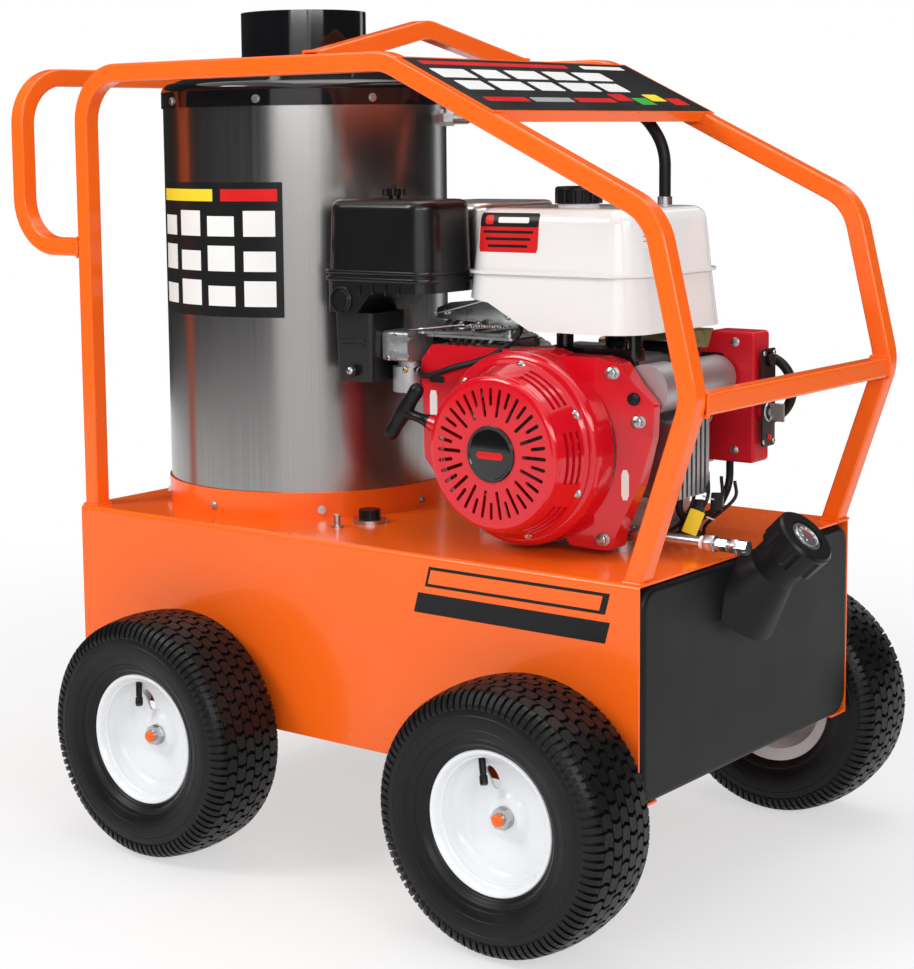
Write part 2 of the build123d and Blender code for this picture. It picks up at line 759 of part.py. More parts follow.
guide_turn = radians(166.6)   # rope guide, from +X about the crank towards +Z
guide_dir = (cos(guide_turn), 0, sin(guide_turn))
guide_y = recoil_back_y - 20.0
guide_start = recoil_flange_r - 16.0
guide_end = recoil_flange_r + 5.0
guide_r = 11.0
guide_plane = Plane(origin=(crank_x, guide_y, crank_z), x_dir=(0, 1, 0), z_dir=guide_dir)
recoil_spin = Axis((crank_x, 0, crank_z), (0, 1, 0))
slot_pairs = 18
slot_outer = recoil_disc_r - 7.0
vent_starts = (18, 72, 126, 180, 232, 300)
vent_depths = (13.0, 22.0, 31.0)
vent_arc = 36.0
slot_w = 4.6
with BuildPart() as recoil_cover:
    t = recoil_sheet
    d = recoil_depth
    shoulder_r = recoil_disc_r + 9.0
    # section through the crank axis: sketch x runs towards the operator
    with BuildSketch(Plane(origin=(crank_x, recoil_back_y, crank_z), x_dir=(0, -1, 0),
                           z_dir=(-1, 0, 0))):
        with BuildLine():
            Polyline((0, recoil_flange_r - 6 - t), (0, recoil_flange_r), (3, recoil_flange_r),
                     (6, recoil_flange_r - 4), (d - 9, shoulder_r))
            RadiusArc((d - 9, shoulder_r), (d, recoil_disc_r), 9.1)
            Polyline((d, recoil_disc_r), (d, 0), (d - t, 0), (d - t, recoil_disc_r - 4),
                     (d - 12, shoulder_r - t - 1), (6, recoil_flange_r - 6 - t),
                     (0, recoil_flange_r - 6 - t))
        make_face()
    revolve(axis=recoil_spin)
    with BuildSketch(guide_plane.offset(guide_start)):
        Circle(guide_r)
    extrude(amount=guide_end - guide_start)
    # radial cooling slots, long and short in turn
    with BuildSketch(facing_y(recoil_front_y + 2 * t)):
        with Locations((crank_x, crank_z)):
            for length, first in ((36.0, 0.0), (22.0, 180 / slot_pairs)):
                with PolarLocations(slot_outer - length / 2, slot_pairs, start_angle=first):
                    SlotOverall(length, slot_w)
    extrude(amount=4 * t, mode=Mode.SUBTRACT)
    # curved vents in the side wall
    for first in vent_starts:
        around = radians(first)
        with BuildSketch(Plane(origin=(crank_x, recoil_back_y, crank_z), x_dir=(0, -1, 0),
                               z_dir=(-cos(around), 0, sin(around)))):
            for depth in vent_depths:
                with Locations((depth, recoil_flange_r - 8)):
                    Rectangle(slot_w, 26)
        revolve(axis=recoil_spin, revolution_arc=vent_arc, mode=Mode.SUBTRACT)
    # rope hole
    with BuildSketch(guide_plane.offset(guide_start - 10)):
        Circle(3.5)
    extrude(amount=2 * (guide_end - guide_start), mode=Mode.SUBTRACT)
save(recoil_cover, "recoil_cover")

grip_neck = 38.0
grip_len = 92.0
grip_turn = 54.0              # the bar's slope in the starter's plane
grip_bar_at = guide_end + seat_gap + grip_neck + 8.0
grip_x = crank_x + grip_bar_at * guide_dir[0]
grip_z = crank_z + grip_bar_at * guide_dir[2]
with BuildPart() as recoil_grip:
    with BuildSketch(facing_y(guide_y - 9)):
        with Locations(Location((grip_x, grip_z, 0), (0, 0, grip_turn))):
            SlotOverall(grip_len, 24)
    extrude(amount=-18)
    fillet(recoil_grip.faces().filter_by(Axis.Y).edges(), 7)
    with BuildSketch(guide_plane.offset(guide_end + seat_gap)):
        Circle(9.5)
    with BuildSketch(guide_plane.offset(guide_end + seat_gap + grip_neck)):
        Circle(7.0)
    loft()
save(recoil_grip, "recoil_grip")

bolt_r = 6.2
shroud_bolts = ((24, 100), (12, -110), (57, 40))
with BuildPart() as engine_bolts:
    # shroud bolts on its slanted flank
    with BuildSketch(wedge_plane):
        with Locations(*shroud_bolts):
            Circle(1.3 * bolt_r)
    extrude(amount=1.2)
    with BuildSketch(wedge_plane.offset(1.2)):
        with Locations(*shroud_bolts):
            RegularPolygon(bolt_r, 6)
    extrude(amount=5)
    # foot bolts through to the deck
    with BuildSketch(Plane.XY.offset(deck_z + feet_h + 2)):
        with Locations((crank_x, case_mid_y)):
            with GridLocations(2 * feet_half_w - 26, case_len - 80, 2, 2):
                Circle(11)
    extrude(amount=2)
    with BuildSketch(Plane.XY.offset(deck_z + feet_h + 4)):
        with Locations((crank_x, case_mid_y)):
            with GridLocations(2 * feet_half_w - 26, case_len - 80, 2, 2):
                RegularPolygon(8.5, 6)
    extrude(amount=7)
save(engine_bolts, "engine_bolts")

# ------------------------------------------------------------------ air cleaner and carburettor
cleaner_left = crank_x - 312.0
cleaner_right = crank_x - 130.0
cleaner_near = -198.0
cleaner_far = -75.0
cleaner_x = (cleaner_left + cleaner_right) / 2
cleaner_y = (cleaner_near + cleaner_far) / 2
cleaner_l = cleaner_right - cleaner_left
cleaner_w = cleaner_far - cleaner_near
cleaner_r = 34.0
seam_z = crank_z + 213.0
tray_z = seam_z - 22.0
skirt_z = seam_z - 51.0
cover_top_z = crank_z + 311.0
cleaner_wall = 3.0
with BuildPart() as air_cleaner_cover:
    with BuildSketch(Plane.XY.offset(seam_z)):
        with Locations((cleaner_x, cleaner_y)):
            RectangleRounded(cleaner_l - 3, cleaner_w - 3, cleaner_r)
    extrude(amount=cover_top_z - seam_z, taper=2)
    fillet(air_cleaner_cover.faces().sort_by(Axis.Z)[-1].edges(), 12)
    with BuildSketch(Plane.XY.offset(seam_z)):
        with Locations((cleaner_x, cleaner_y)):
            RectangleRounded(cleaner_l - 3 - 2 * cleaner_wall, cleaner_w - 3 - 2 * cleaner_wall,
                             cleaner_r - cleaner_wall)
    extrude(amount=cover_top_z - seam_z - cleaner_wall - 8, taper=4, mode=Mode.SUBTRACT)
save(air_cleaner_cover, "air_cleaner_cover")

with BuildPart() as air_cleaner_base:
    with BuildSketch(Plane.XY.offset(tray_z)):
        with Locations((cleaner_x, cleaner_y)):
            RectangleRounded(cleaner_l, cleaner_w, cleaner_r)
    extrude(amount=seam_z - tray_z)
    # deeper skirt on the boiler side, with a sloping end
    with BuildSketch(facing_y(cleaner_far)):
        with BuildLine():
            Polyline((cleaner_left, tray_z), (cleaner_left, skirt_z),
                     (cleaner_left + 66, skirt_z), (cleaner_left + 92, tray_z), close=True)
        make_face()
    extrude(amount=cleaner_w)
    with BuildSketch(Plane.XY.offset(skirt_z)):
        with Locations((cleaner_x, cleaner_y)):
            RectangleRounded(cleaner_l, cleaner_w, cleaner_r)
    extrude(amount=seam_z - skirt_z, mode=Mode.INTERSECT)
    # elbow down to the carburettor
    with BuildSketch(Plane.XY.offset(skirt_z)):
        with Locations((cleaner_left + 52, cleaner_near + 46)):
            RectangleRounded(66, 78, 10)
    extrude(amount=-92, taper=2)
save(air_cleaner_base, "air_cleaner_base")

knob_r = 17.0
cleaner_knob_x = cleaner_x - 8.0
with BuildPart() as air_cleaner_knob:
    with BuildSketch(Plane.XY.offset(cover_top_z + seat_gap)):
        with Locations((cleaner_knob_x, cleaner_y)):
            Circle(9)
    extrude(amount=5)
    with BuildSketch(Plane.XY.offset(cover_top_z + seat_gap + 5)):
        with Locations((cleaner_knob_x, cleaner_y)):
            Circle(knob_r - 4)
            with PolarLocations(knob_r - 4, 6):
                Circle(4.5)
    extrude(amount=9)
    with BuildSketch(Plane.XY.offset(cover_top_z + seat_gap + 14)):
        with Locations((cleaner_knob_x, cleaner_y)):
            Circle(3)
    extrude(amount=6)
save(air_cleaner_knob, "air_cleaner_knob")

carb_left = cleaner_left + 52 + 33
carb_right = carb_left + 42.0
carb_near = cleaner_near + 30.0
carb_far = carb_near + 56.0
carb_low = crank_z + 98.0
carb_top = crank_z + 138.0
carb_x = (carb_left + carb_right) / 2
bowl_r = 23.0
bowl_x = carb_left + bowl_r + 1
bowl_y = (carb_near + carb_far) / 2
with BuildPart() as carburettor:
    with BuildSketch(facing_x(carb_left)):
        with Locations(((carb_near + carb_far) / 2, (carb_low + carb_top) / 2)):
            RectangleRounded(carb_far - carb_near, carb_top - carb_low, 5)
    extrude(amount=carb_right - carb_left)
    # intake pipe back to the cylinder head
    with BuildSketch(facing_y(carb_far)):
        with Locations((carb_x, (carb_low + carb_top) / 2)):
            Circle(15)
    extrude(amount=-(barrel_mid_y - 62 - carb_far))
    # float bowl and its drain screw
    with BuildSketch(Plane.XY.offset(carb_low)):
        with Locations((bowl_x, bowl_y)):
            Circle(0.7 * bowl_r)
    extrude(amount=-8)
    with BuildSketch(Plane.XY.offset(carb_low - 8)):
        with Locations((bowl_x, bowl_y)):
            Circle(bowl_r)
    extrude(amount=-34)
    with BuildSketch(Plane.XY.offset(carb_low - 42)):
        with Locations((bowl_x, bowl_y)):
            RegularPolygon(6, 6)
    extrude(amount=-6)
save(carburettor, "carburettor")

lever_y = carb_near - seat_gap
for label, z, reach in (("choke_lever", carb_top - 9, 26.0), ("fuel_tap_lever", carb_low + 9, 24.0)):
    with BuildPart() as lever:
        with BuildSketch(facing_y(lever_y)):
            with Locations((carb_x, z)):
                Circle(6)
            with Locations((carb_x + reach / 2, z)):
                Rectangle(abs(reach), 6)
            with Locations((carb_x + reach, z)):
                Circle(3)
        extrude(amount=4)
    save(lever, label)

# ------------------------------------------------------------------ throttle controls
plate_z = crank_z + 132.0
throttle_x = crank_x - 50.0
throttle_y = case_front_y - 13.0
throttle_tip_x = crank_x - 176.0
throttle_tip_y = case_front_y - 34.0
with BuildPart() as control_plate:
    with BuildSketch(Plane.XY.offset(plate_z)):
        with Locations(((throttle_x + crank_x - 150) / 2, case_front_y - 6)):
            RectangleRounded(throttle_x - crank_x + 150 + 40, 62, 6)
    extrude(amount=3)
    with BuildSketch(Plane.XY.offset(crank_z + case_top_h)):
        with Locations((throttle_x, case_front_y + 16)):
            Rectangle(44, 14)
    extrude(amount=plate_z - crank_z - case_top_h)
    with BuildSketch(Plane.XY.offset(plate_z + 3)):
        with Locations((throttle_x, throttle_y)):
            Circle(4 - running_fit)
    extrude(amount=8)
save(control_plate, "control_plate")

throttle_arm = hypot(throttle_tip_x - throttle_x, throttle_tip_y - throttle_y)
arm_dir = Vector(throttle_tip_x - throttle_x, throttle_tip_y - throttle_y, 0).normalized()
throttle_plane = Plane(origin=(throttle_x, throttle_y, plate_z + 3 + seat_gap),
                       x_dir=(arm_dir.X, arm_dir.Y, 0), z_dir=(0, 0, 1))
with BuildPart() as throttle_lever:
    with BuildSketch(throttle_plane):
        Circle(9)
        with Locations((throttle_arm / 2, 0)):
            Rectangle(throttle_arm, 9)
        with Locations((throttle_arm, 0)):
            Circle(7)
        Circle(4, mode=Mode.SUBTRACT)
    extrude(amount=3)
save(throttle_lever, "throttle_lever")

# ------------------------------------------------------------------ engine fuel tank
etank_left = cleaner_right + 8.0
etank_right = crank_x + 135.0
etank_near = -130.0
etank_far = 95.0
etank_x = (etank_left + etank_right) / 2
etank_y = (etank_near + etank_far) / 2
etank_l = etank_right - etank_left
etank_w = etank_far - etank_near
etank_seam_z = crank_z + 218.0
etank_top_z = crank_z + 300.0
etank_low_z = crank_z + 145.0
etank_r = 38.0
etank_filler = (crank_x - 8.0, -28.0)
with BuildPart() as engine_tank:
    with BuildSketch(Plane.XY.offset(etank_seam_z)):
        with Locations((etank_x, etank_y)):
            RectangleRounded(etank_l, etank_w, etank_r)
    extrude(amount=etank_top_z - etank_seam_z, taper=6)
    fillet(engine_tank.faces().sort_by(Axis.Z)[-1].edges(), 20)
    with BuildSketch(Plane.XY.offset(etank_seam_z)):
        with Locations((etank_x, etank_y)):
            RectangleRounded(etank_l, etank_w, etank_r)
    extrude(amount=etank_low_z - etank_seam_z, taper=-7)
    # the floor rises towards the air cleaner
    with BuildSketch(facing_y(etank_near - 20)):
        with BuildLine():
            Polyline((etank_left - 20, etank_low_z - 20), (etank_left - 20, etank_low_z + 42),
                     (etank_left + 44, etank_low_z + 34), (etank_left + 112, etank_low_z),
                     (etank_left + 112, etank_low_z - 20), close=True)
        make_face()
    extrude(amount=-(etank_w + 40), mode=Mode.SUBTRACT)
    with BuildSketch(Plane.XY.offset(etank_seam_z - 2)):
        with Locations((etank_x, etank_y)):
            RectangleRounded(etank_l + 12, etank_w + 12, etank_r + 6)
    extrude(amount=4)
    with BuildSketch(Plane.XY.offset(etank_top_z - 4)):
        with Locations(etank_filler):
            Circle(27)
    extrude(amount=8)
    with BuildSketch(Plane.XY.offset(etank_top_z + 4)):
        with Locations(etank_filler):
            Circle(21)
    extrude(amount=10)
    with BuildSketch(Plane.XY.offset(etank_top_z + 14)):
        with Locations(etank_filler):
            Circle(17)
    extrude(amount=-60, mode=Mode.SUBTRACT)
save(engine_tank, "engine_tank")

with BuildPart() as engine_tank_cap:
    cap_seat_z = etank_top_z + 4 + seat_gap
    with BuildSketch(Plane.XY.offset(cap_seat_z)):
        with Locations(etank_filler):
            Circle(31)
    extrude(amount=22)
    fillet(engine_tank_cap.faces().sort_by(Axis.Z)[-1].edges(), 4)
    with BuildSketch(Plane.XY.offset(cap_seat_z)):
        with Locations(etank_filler):
            with PolarLocations(33, 16):
                Circle(3.5)
    extrude(amount=17, mode=Mode.SUBTRACT)
    with BuildSketch(Plane.XY.offset(cap_seat_z)):
        with Locations(etank_filler):
            Circle(21 + seat_gap)
    extrude(amount=10 + seat_gap, mode=Mode.SUBTRACT)
save(engine_tank_cap, "engine_tank_cap")

post_xs = (crank_x + 8.0, crank_x + 112.0)
post_ys = (-84.0, 36.0)
with BuildPart() as tank_brackets:
    for y in post_ys:
        with BuildSketch(Plane.XY.offset(crank_z + case_top_h)):
            with Locations(((post_xs[0] + post_xs[1]) / 2, y)):
                SlotOverall(post_xs[1] - post_xs[0] + 28, 28)
        extrude(amount=14)
        with BuildSketch(Plane.XY.offset(crank_z + case_top_h + 14)):
            for x in post_xs:
                with Locations((x, y)):
                    Circle(11)
        extrude(amount=etank_low_z - crank_z - case_top_h - 14)
        with BuildSketch(Plane.XY.offset(crank_z + case_top_h)):
            with Locations((post_xs[1], y)):
                RegularPolygon(8, 6)
        extrude(amount=-8)
save(tank_brackets, "tank_brackets")

# ------------------------------------------------------------------ muffler
muffler_l = 142.0
muffler_w = 180.0
muffler_low = port_top_z + 12.0
muffler_top = crank_z + 304.0
muffler_x = crank_x - 211.0
muffler_y = 32.0
with BuildPart() as muffler:
    with BuildSketch(Plane.XY.offset(muffler_low)):
        with Locations((muffler_x, muffler_y)):
            RectangleRounded(muffler_l, muffler_w, 24)
    extrude(amount=muffler_top - muffler_low)
    fillet(muffler.faces().sort_by(Axis.Z)[-1].edges(), 10)
    # louvres of the heat guard
    for row in range(7):
        with BuildSketch(facing_x(muffler_x + muffler_l / 2 - 3)):
            with Locations((muffler_y - 54 + row * 18, muffler_top - 26)):
                SlotOverall(34, 6, rotation=70)
        extrude(amount=6, mode=Mode.SUBTRACT)
        with BuildSketch(facing_y(muffler_y - muffler_w / 2 + 3)):
            with Locations((muffler_x - 42 + row * 14, muffler_top - 26)):
                SlotOverall(34, 6, rotation=70)
        extrude(amount=6, mode=Mode.SUBTRACT)
    with BuildSketch(Plane.XY.offset(muffler_low)):
        with Locations((port_x, port_y)):
            Circle(17)
    extrude(amount=port_top_z - muffler_low)
    # tail pipe on the far side
    tail = Plane(origin=(muffler_x, muffler_y + muffler_w / 2, muffler_low + 40),
                 x_dir=(1, 0, 0), z_dir=(0, 1, 0))
    with BuildSketch(tail):
        Circle(14)
    extrude(amount=22)
    with BuildSketch(tail.offset(22)):
        Circle(12)
    extrude(amount=-30, mode=Mode.SUBTRACT)
save(muffler, "muffler")

# ------------------------------------------------------------------ starter, charging, controls
starter_x = crank_x + 145.0
starter_z = crank_z + 77.0
starter_r = 29.0
starter_near = case_front_y + 47.0
starter_far = starter_near + 133.0
solenoid_y = 26.0
solenoid_r = 17.0
solenoid_z = starter_z - starter_r - solenoid_r + 6
with BuildPart() as starter_motor:
    with BuildSketch(facing_y(starter_near)):
        with Locations((starter_x, starter_z)):
            Circle(starter_r + 3)
        with Locations(((case_right_x + starter_x) / 2, starter_z)):
            Rectangle(starter_x - case_right_x, 44)
    extrude(amount=44)
    with BuildSketch(facing_y(starter_near)):
        with Locations((starter_x, starter_z)):
            Circle(starter_r)
    extrude(amount=-(starter_far - starter_near))
    fillet(starter_motor.faces().sort_by(Axis.Y)[-1].edges(), 4)
    # solenoid slung below it
    with BuildSketch(facing_x(case_right_x)):
        with Locations((solenoid_y, solenoid_z)):
            Circle(solenoid_r)
    extrude(amount=62)
    with BuildSketch(facing_x(case_right_x + 62)):
        with Locations((solenoid_y - 7, solenoid_z), (solenoid_y + 7, solenoid_z)):
            Circle(4)
    extrude(amount=9)
save(starter_motor, "starter_motor")

fin_near = -82.0
fin_far = 4.0
fin_low = crank_z - 65.0
fin_high = crank_z + 36.0
with BuildPart() as fin_block:
    with BuildSketch(facing_x(case_right_x)):
        with Locations(((fin_near + fin_far) / 2, (fin_low + fin_high) / 2)):
            RectangleRounded(fin_far - fin_near, fin_high - fin_low, 4)
    extrude(amount=78)
    fin_pitch = 11.0
    for fin in range(7):
        with BuildSketch(facing_x(case_right_x + 78)):
            with Locations((fin_near + 10 + fin * fin_pitch, (fin_low + fin_high) / 2)):
                Rectangle(5, fin_high - fin_low + 2)
        extrude(amount=-12, mode=Mode.SUBTRACT)
save(fin_block, "fin_block")

box_near = 72.0
box_far = 114.0
box_left = crank_x + 134.0
box_right = crank_x + 196.0
box_low = crank_z - 35.0
box_high = crank_z + 137.0
box_mid_y = (box_near + box_far) / 2
key_z = crank_z + 32.0
switch_h = 8.5
key_x = box_right + switch_h + seat_gap
with BuildPart() as control_box:
    with BuildSketch(facing_y(box_far)):
        with BuildLine():
            Polyline((case_right_x, box_low), (box_right, box_low), (box_right, box_high),
                     (box_left, box_high), (box_left - 6, box_high - 22),
                     (case_right_x + 14, box_high - 30), (case_right_x, box_high - 44), close=True)
        make_face()
    extrude(amount=box_far - box_near)
    fillet(control_box.edges().filter_by(Axis.Y).sort_by(Axis.X)[-2:], 6)
    fillet(control_box.faces().sort_by(Axis.X)[-1].edges(), 4)
    # ignition switch
    with BuildSketch(facing_x(box_right)):
        with Locations((box_mid_y, key_z)):
            Circle(11)
    extrude(amount=switch_h)
save(control_box, "control_box")

with BuildPart() as ignition_key:
    with BuildSketch(facing_x(key_x)):
        with Locations((box_mid_y, key_z)):
            Circle(5)
    extrude(amount=4)
    with BuildSketch(facing_x(key_x + 4)):
        with Locations((box_mid_y, key_z)):
            SlotOverall(24, 3, rotation=90)
    extrude(amount=20)
save(ignition_key, "ignition_key")

drain_y = case_front_y + 12.0
drain_z = deck_z + 24.0
drain_r = 6.8
drain_len = 194.0
with BuildPart() as drain_pipe:
    with BuildSketch(facing_x(case_right_x)):
        with Locations((drain_y, drain_z)):
            Circle(drain_r)
    extrude(amount=drain_len)
    with BuildSketch(facing_x(case_right_x)):
        with Locations((drain_y, drain_z)):
            RegularPolygon(9, 6)
    extrude(amount=14)
    with BuildSketch(facing_x(case_right_x + drain_len - 42)):
        with Locations((drain_y, drain_z)):
            RegularPolygon(8.8, 6)
    extrude(amount=14)
    with BuildSketch(facing_x(case_right_x + drain_len - 16)):
        with Locations((drain_y, drain_z)):
            RegularPolygon(9.5, 6)
    extrude(amount=16)
save(drain_pipe, "drain_pipe")

# ------------------------------------------------------------------ pump
pump_flange_y = case_back_y + 12.0
pump_near = pump_flange_y + 12.0
pump_far = pump_near + 95.0
pump_left = crank_x - 60.0
pump_right = crank_x + 60.0
pump_low = crank_z - 60.0
pump_split_z = crank_z + 60.0
pump_top = crank_z + 125.0
pump_mid_y = (pump_near + pump_far) / 2
inlet_r = 13.0
outlet_r = 9.0
port_len = 26.0
port_z = crank_z + 90.0
with BuildPart() as pump_body:
    with BuildSketch(facing_y(pump_near)):
        with Locations((crank_x, crank_z)):
            Circle(68)
    extrude(amount=pump_near - pump_flange_y)
    with BuildSketch(Plane.XY.offset(pump_low)):
        with Locations((crank_x, pump_mid_y)):
            RectangleRounded(pump_right - pump_left, pump_far - pump_near, 12)
    extrude(amount=pump_split_z - pump_low)
    with BuildSketch(facing_y(pump_flange_y - 1)):
        with Locations((crank_x, crank_z)):
            Circle(shaft_r + running_fit)
    extrude(amount=-38, mode=Mode.SUBTRACT)
save(pump_body, "pump_body")

with BuildPart() as pump_head:
    with BuildSketch(Plane.XY.offset(pump_split_z)):
        with Locations((crank_x, pump_mid_y)):
            RectangleRounded(pump_right - pump_left, pump_far - pump_near - 10, 8)
    extrude(amount=pump_top - pump_split_z)
    # valve caps
    with BuildSketch(Plane.XY.offset(pump_top)):
        with Locations((crank_x - 16, pump_mid_y + 14)):
            with GridLocations(32, 34, 2, 2):
                RegularPolygon(11, 6)
    extrude(amount=9)
    # water inlet and high-pressure outlet
    with BuildSketch(facing_y(pump_far - 5)):
        with Locations((pump_left + 28, port_z)):
            Circle(inlet_r)
        with Locations((pump_right - 28, port_z)):
            Circle(outlet_r)
    extrude(amount=-port_len)
    # unloader valve on the boiler side
    with BuildSketch(facing_x(pump_left)):
        with Locations((pump_mid_y, port_z)):
            RectangleRounded(34, 40, 6)
    extrude(amount=-34)
    with BuildSketch(Plane.XY.offset(port_z + 20)):
        with Locations((pump_left - 17, pump_mid_y)):
            Circle(9)
    extrude(amount=24)
save(pump_head, "pump_head")

with BuildPart() as unloader_knob:
    with BuildSketch(Plane.XY.offset(port_z + 44 + seat_gap)):
        with Locations((pump_left - 17, pump_mid_y)):
            Circle(16)
            with PolarLocations(17.5, 10):
                Circle(3, mode=Mode.SUBTRACT)
    extrude(amount=20)
save(unloader_knob, "unloader_knob")

# ------------------------------------------------------------------ hoses and lines
riser_x = crank_x + 17.0
riser_y = pump_near + 25.0
ferrule_top = crank_z + 308.0
fitting_turn = radians(27.8)
fitting_dir = (cos(fitting_turn), sin(fitting_turn), 0)
fitting_len = 34.0
fitting_z = shell_top_z - 18.0
fitting_plane = Plane(
    origin=(boiler_x + boiler_r * fitting_dir[0], boiler_r * fitting_dir[1], fitting_z),
    x_dir=(0, 0, 1),
    z_dir=fitting_dir,
)
with BuildPart() as hose_fittings:
    # riser from the pump head
    with BuildSketch(Plane.XY.offset(pump_top)):
        with Locations((riser_x, riser_y)):
            RegularPolygon(12, 6)
    extrude(amount=16)
    with BuildSketch(Plane.XY.offset(pump_top + 16)):
        with Locations((riser_x, riser_y)):
            Circle(7)
    extrude(amount=ferrule_top - 26 - pump_top - 16)
    with BuildSketch(Plane.XY.offset(ferrule_top - 26)):
        with Locations((riser_x, riser_y)):
            Circle(ferrule_r)
    extrude(amount=26)
    # nipple on the boiler
    with BuildSketch(fitting_plane):
        RegularPolygon(12, 6)
    extrude(amount=14)
    with BuildSketch(fitting_plane.offset(14)):
        Circle(ferrule_r)
    extrude(amount=fitting_len - 14)
save(hose_fittings, "hose_fittings")

hose_end = fitting_plane.origin + Vector(*fitting_dir) * fitting_len
hose_lead = hose_end + Vector(*fitting_dir) * 60
hose_points = [
    (riser_x, riser_y, ferrule_top),
    (riser_x, riser_y, ferrule_top + 67),
    (riser_x - 35, riser_y + 2, ferrule_top + 112),
    (riser_x - 107, riser_y + 5, ferrule_top + 136),
    (riser_x - 187, riser_y + 5, ferrule_top + 130),
    (hose_lead.X, hose_lead.Y, hose_lead.Z),
    (hose_end.X, hose_end.Y, hose_end.Z),
]
hose_radii = route_radii(hose_points)
pressure_hose = round_hose(hose_points, hose_radii, hose_r)
save(pressure_hose, "pressure_hose")

loop_r = 6.5
loop_y = pump_mid_y - 27.0
loop_x = crank_x + 215.0
loop_high = crank_z + 99.0
loop_low = crank_z + 15.0
loop_bend = (loop_high - loop_low) / 2 - 1
loop_points = [
    (pump_right, loop_y, loop_high),
    (loop_x, loop_y, loop_high),
    (loop_x, loop_y, loop_low),
    (pump_right, loop_y, loop_low),
]
harness_r = 5.0
harness_x = crank_x + 150.0
harness_z = box_low - 66.0
harness_points = [
    (harness_x, box_mid_y, box_low),
    (harness_x, box_mid_y, box_low - 34),
    (harness_x, box_mid_y - 34, harness_z),
    (harness_x, 0, harness_z),
    (harness_x, -36, harness_z + 10),
    (harness_x, -36, fin_low),
]
bypass_hose = round_hose(loop_points, loop_bend, loop_r)
harness = round_hose(harness_points, route_radii(harness_points), harness_r)
with BuildPart() as engine_lines:
    add(bypass_hose.part)
    add(harness.part)
save(engine_lines, "engine_lines")

# ------------------------------------------------------------------ deck controls
dial_x = crank_x - 283.0
dial_y = -132.0
with BuildPart() as dial_base:
    with BuildSketch(Plane.XY.offset(deck_z)):
        with Locations((dial_x, dial_y)):
            Circle(24)
    extrude(amount=5)
    with BuildSketch(Plane.XY.offset(deck_z)):
        with Locations((dial_x - 13, dial_y - 54)):
            Circle(9)
    extrude(amount=3)
    with BuildSketch(Plane.XY.offset(deck_z + 3)):
        with Locations((dial_x - 13, dial_y - 54)):
            Circle(4.5)
    extrude(amount=14)
save(dial_base, "dial_base")

with BuildPart() as dial_knob:
    with BuildSketch(Plane.XY.offset(deck_z + 5 + seat_gap)):
        with Locations((dial_x, dial_y)):
            Circle(15)
            with PolarLocations(17, 12):
                Circle(2.6, mode=Mode.SUBTRACT)
    extrude(amount=13)
save(dial_knob, "dial_knob")

print("hose radii", [round(r) for r in hose_radii])
print("x_mid", round(x_mid, 3), "front", round(x_front, 3), "crank", round(crank_x, 3), crank_z)
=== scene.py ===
import json
from math import atan2, cos, pi, radians, sin, sqrt

import bmesh
import bpy
from mathutils import Matrix, Vector


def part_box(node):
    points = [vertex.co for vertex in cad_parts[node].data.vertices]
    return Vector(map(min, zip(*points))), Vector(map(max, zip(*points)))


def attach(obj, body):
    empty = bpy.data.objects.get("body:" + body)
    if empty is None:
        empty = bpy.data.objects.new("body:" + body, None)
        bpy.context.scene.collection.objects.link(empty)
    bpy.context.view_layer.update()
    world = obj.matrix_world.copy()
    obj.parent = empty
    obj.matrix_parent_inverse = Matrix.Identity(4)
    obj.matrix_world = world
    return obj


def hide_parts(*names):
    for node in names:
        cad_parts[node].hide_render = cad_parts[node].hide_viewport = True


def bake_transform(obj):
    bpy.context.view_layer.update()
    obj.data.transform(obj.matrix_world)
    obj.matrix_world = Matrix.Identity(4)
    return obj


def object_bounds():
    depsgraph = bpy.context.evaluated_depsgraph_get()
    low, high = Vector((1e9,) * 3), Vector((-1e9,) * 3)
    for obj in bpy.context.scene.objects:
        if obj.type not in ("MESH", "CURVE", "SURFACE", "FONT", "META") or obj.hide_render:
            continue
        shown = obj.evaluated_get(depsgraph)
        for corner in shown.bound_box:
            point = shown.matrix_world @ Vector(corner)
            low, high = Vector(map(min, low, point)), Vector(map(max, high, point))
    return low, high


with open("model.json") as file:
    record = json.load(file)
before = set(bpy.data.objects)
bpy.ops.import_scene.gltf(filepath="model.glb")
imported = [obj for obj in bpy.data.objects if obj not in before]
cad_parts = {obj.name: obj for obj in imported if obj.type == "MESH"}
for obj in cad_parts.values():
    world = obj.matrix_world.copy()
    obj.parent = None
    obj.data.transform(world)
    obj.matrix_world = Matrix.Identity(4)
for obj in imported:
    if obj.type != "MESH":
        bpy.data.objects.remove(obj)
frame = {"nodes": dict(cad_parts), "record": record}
cad_low, cad_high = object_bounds()
nodes = frame["nodes"]
MM = 0.001


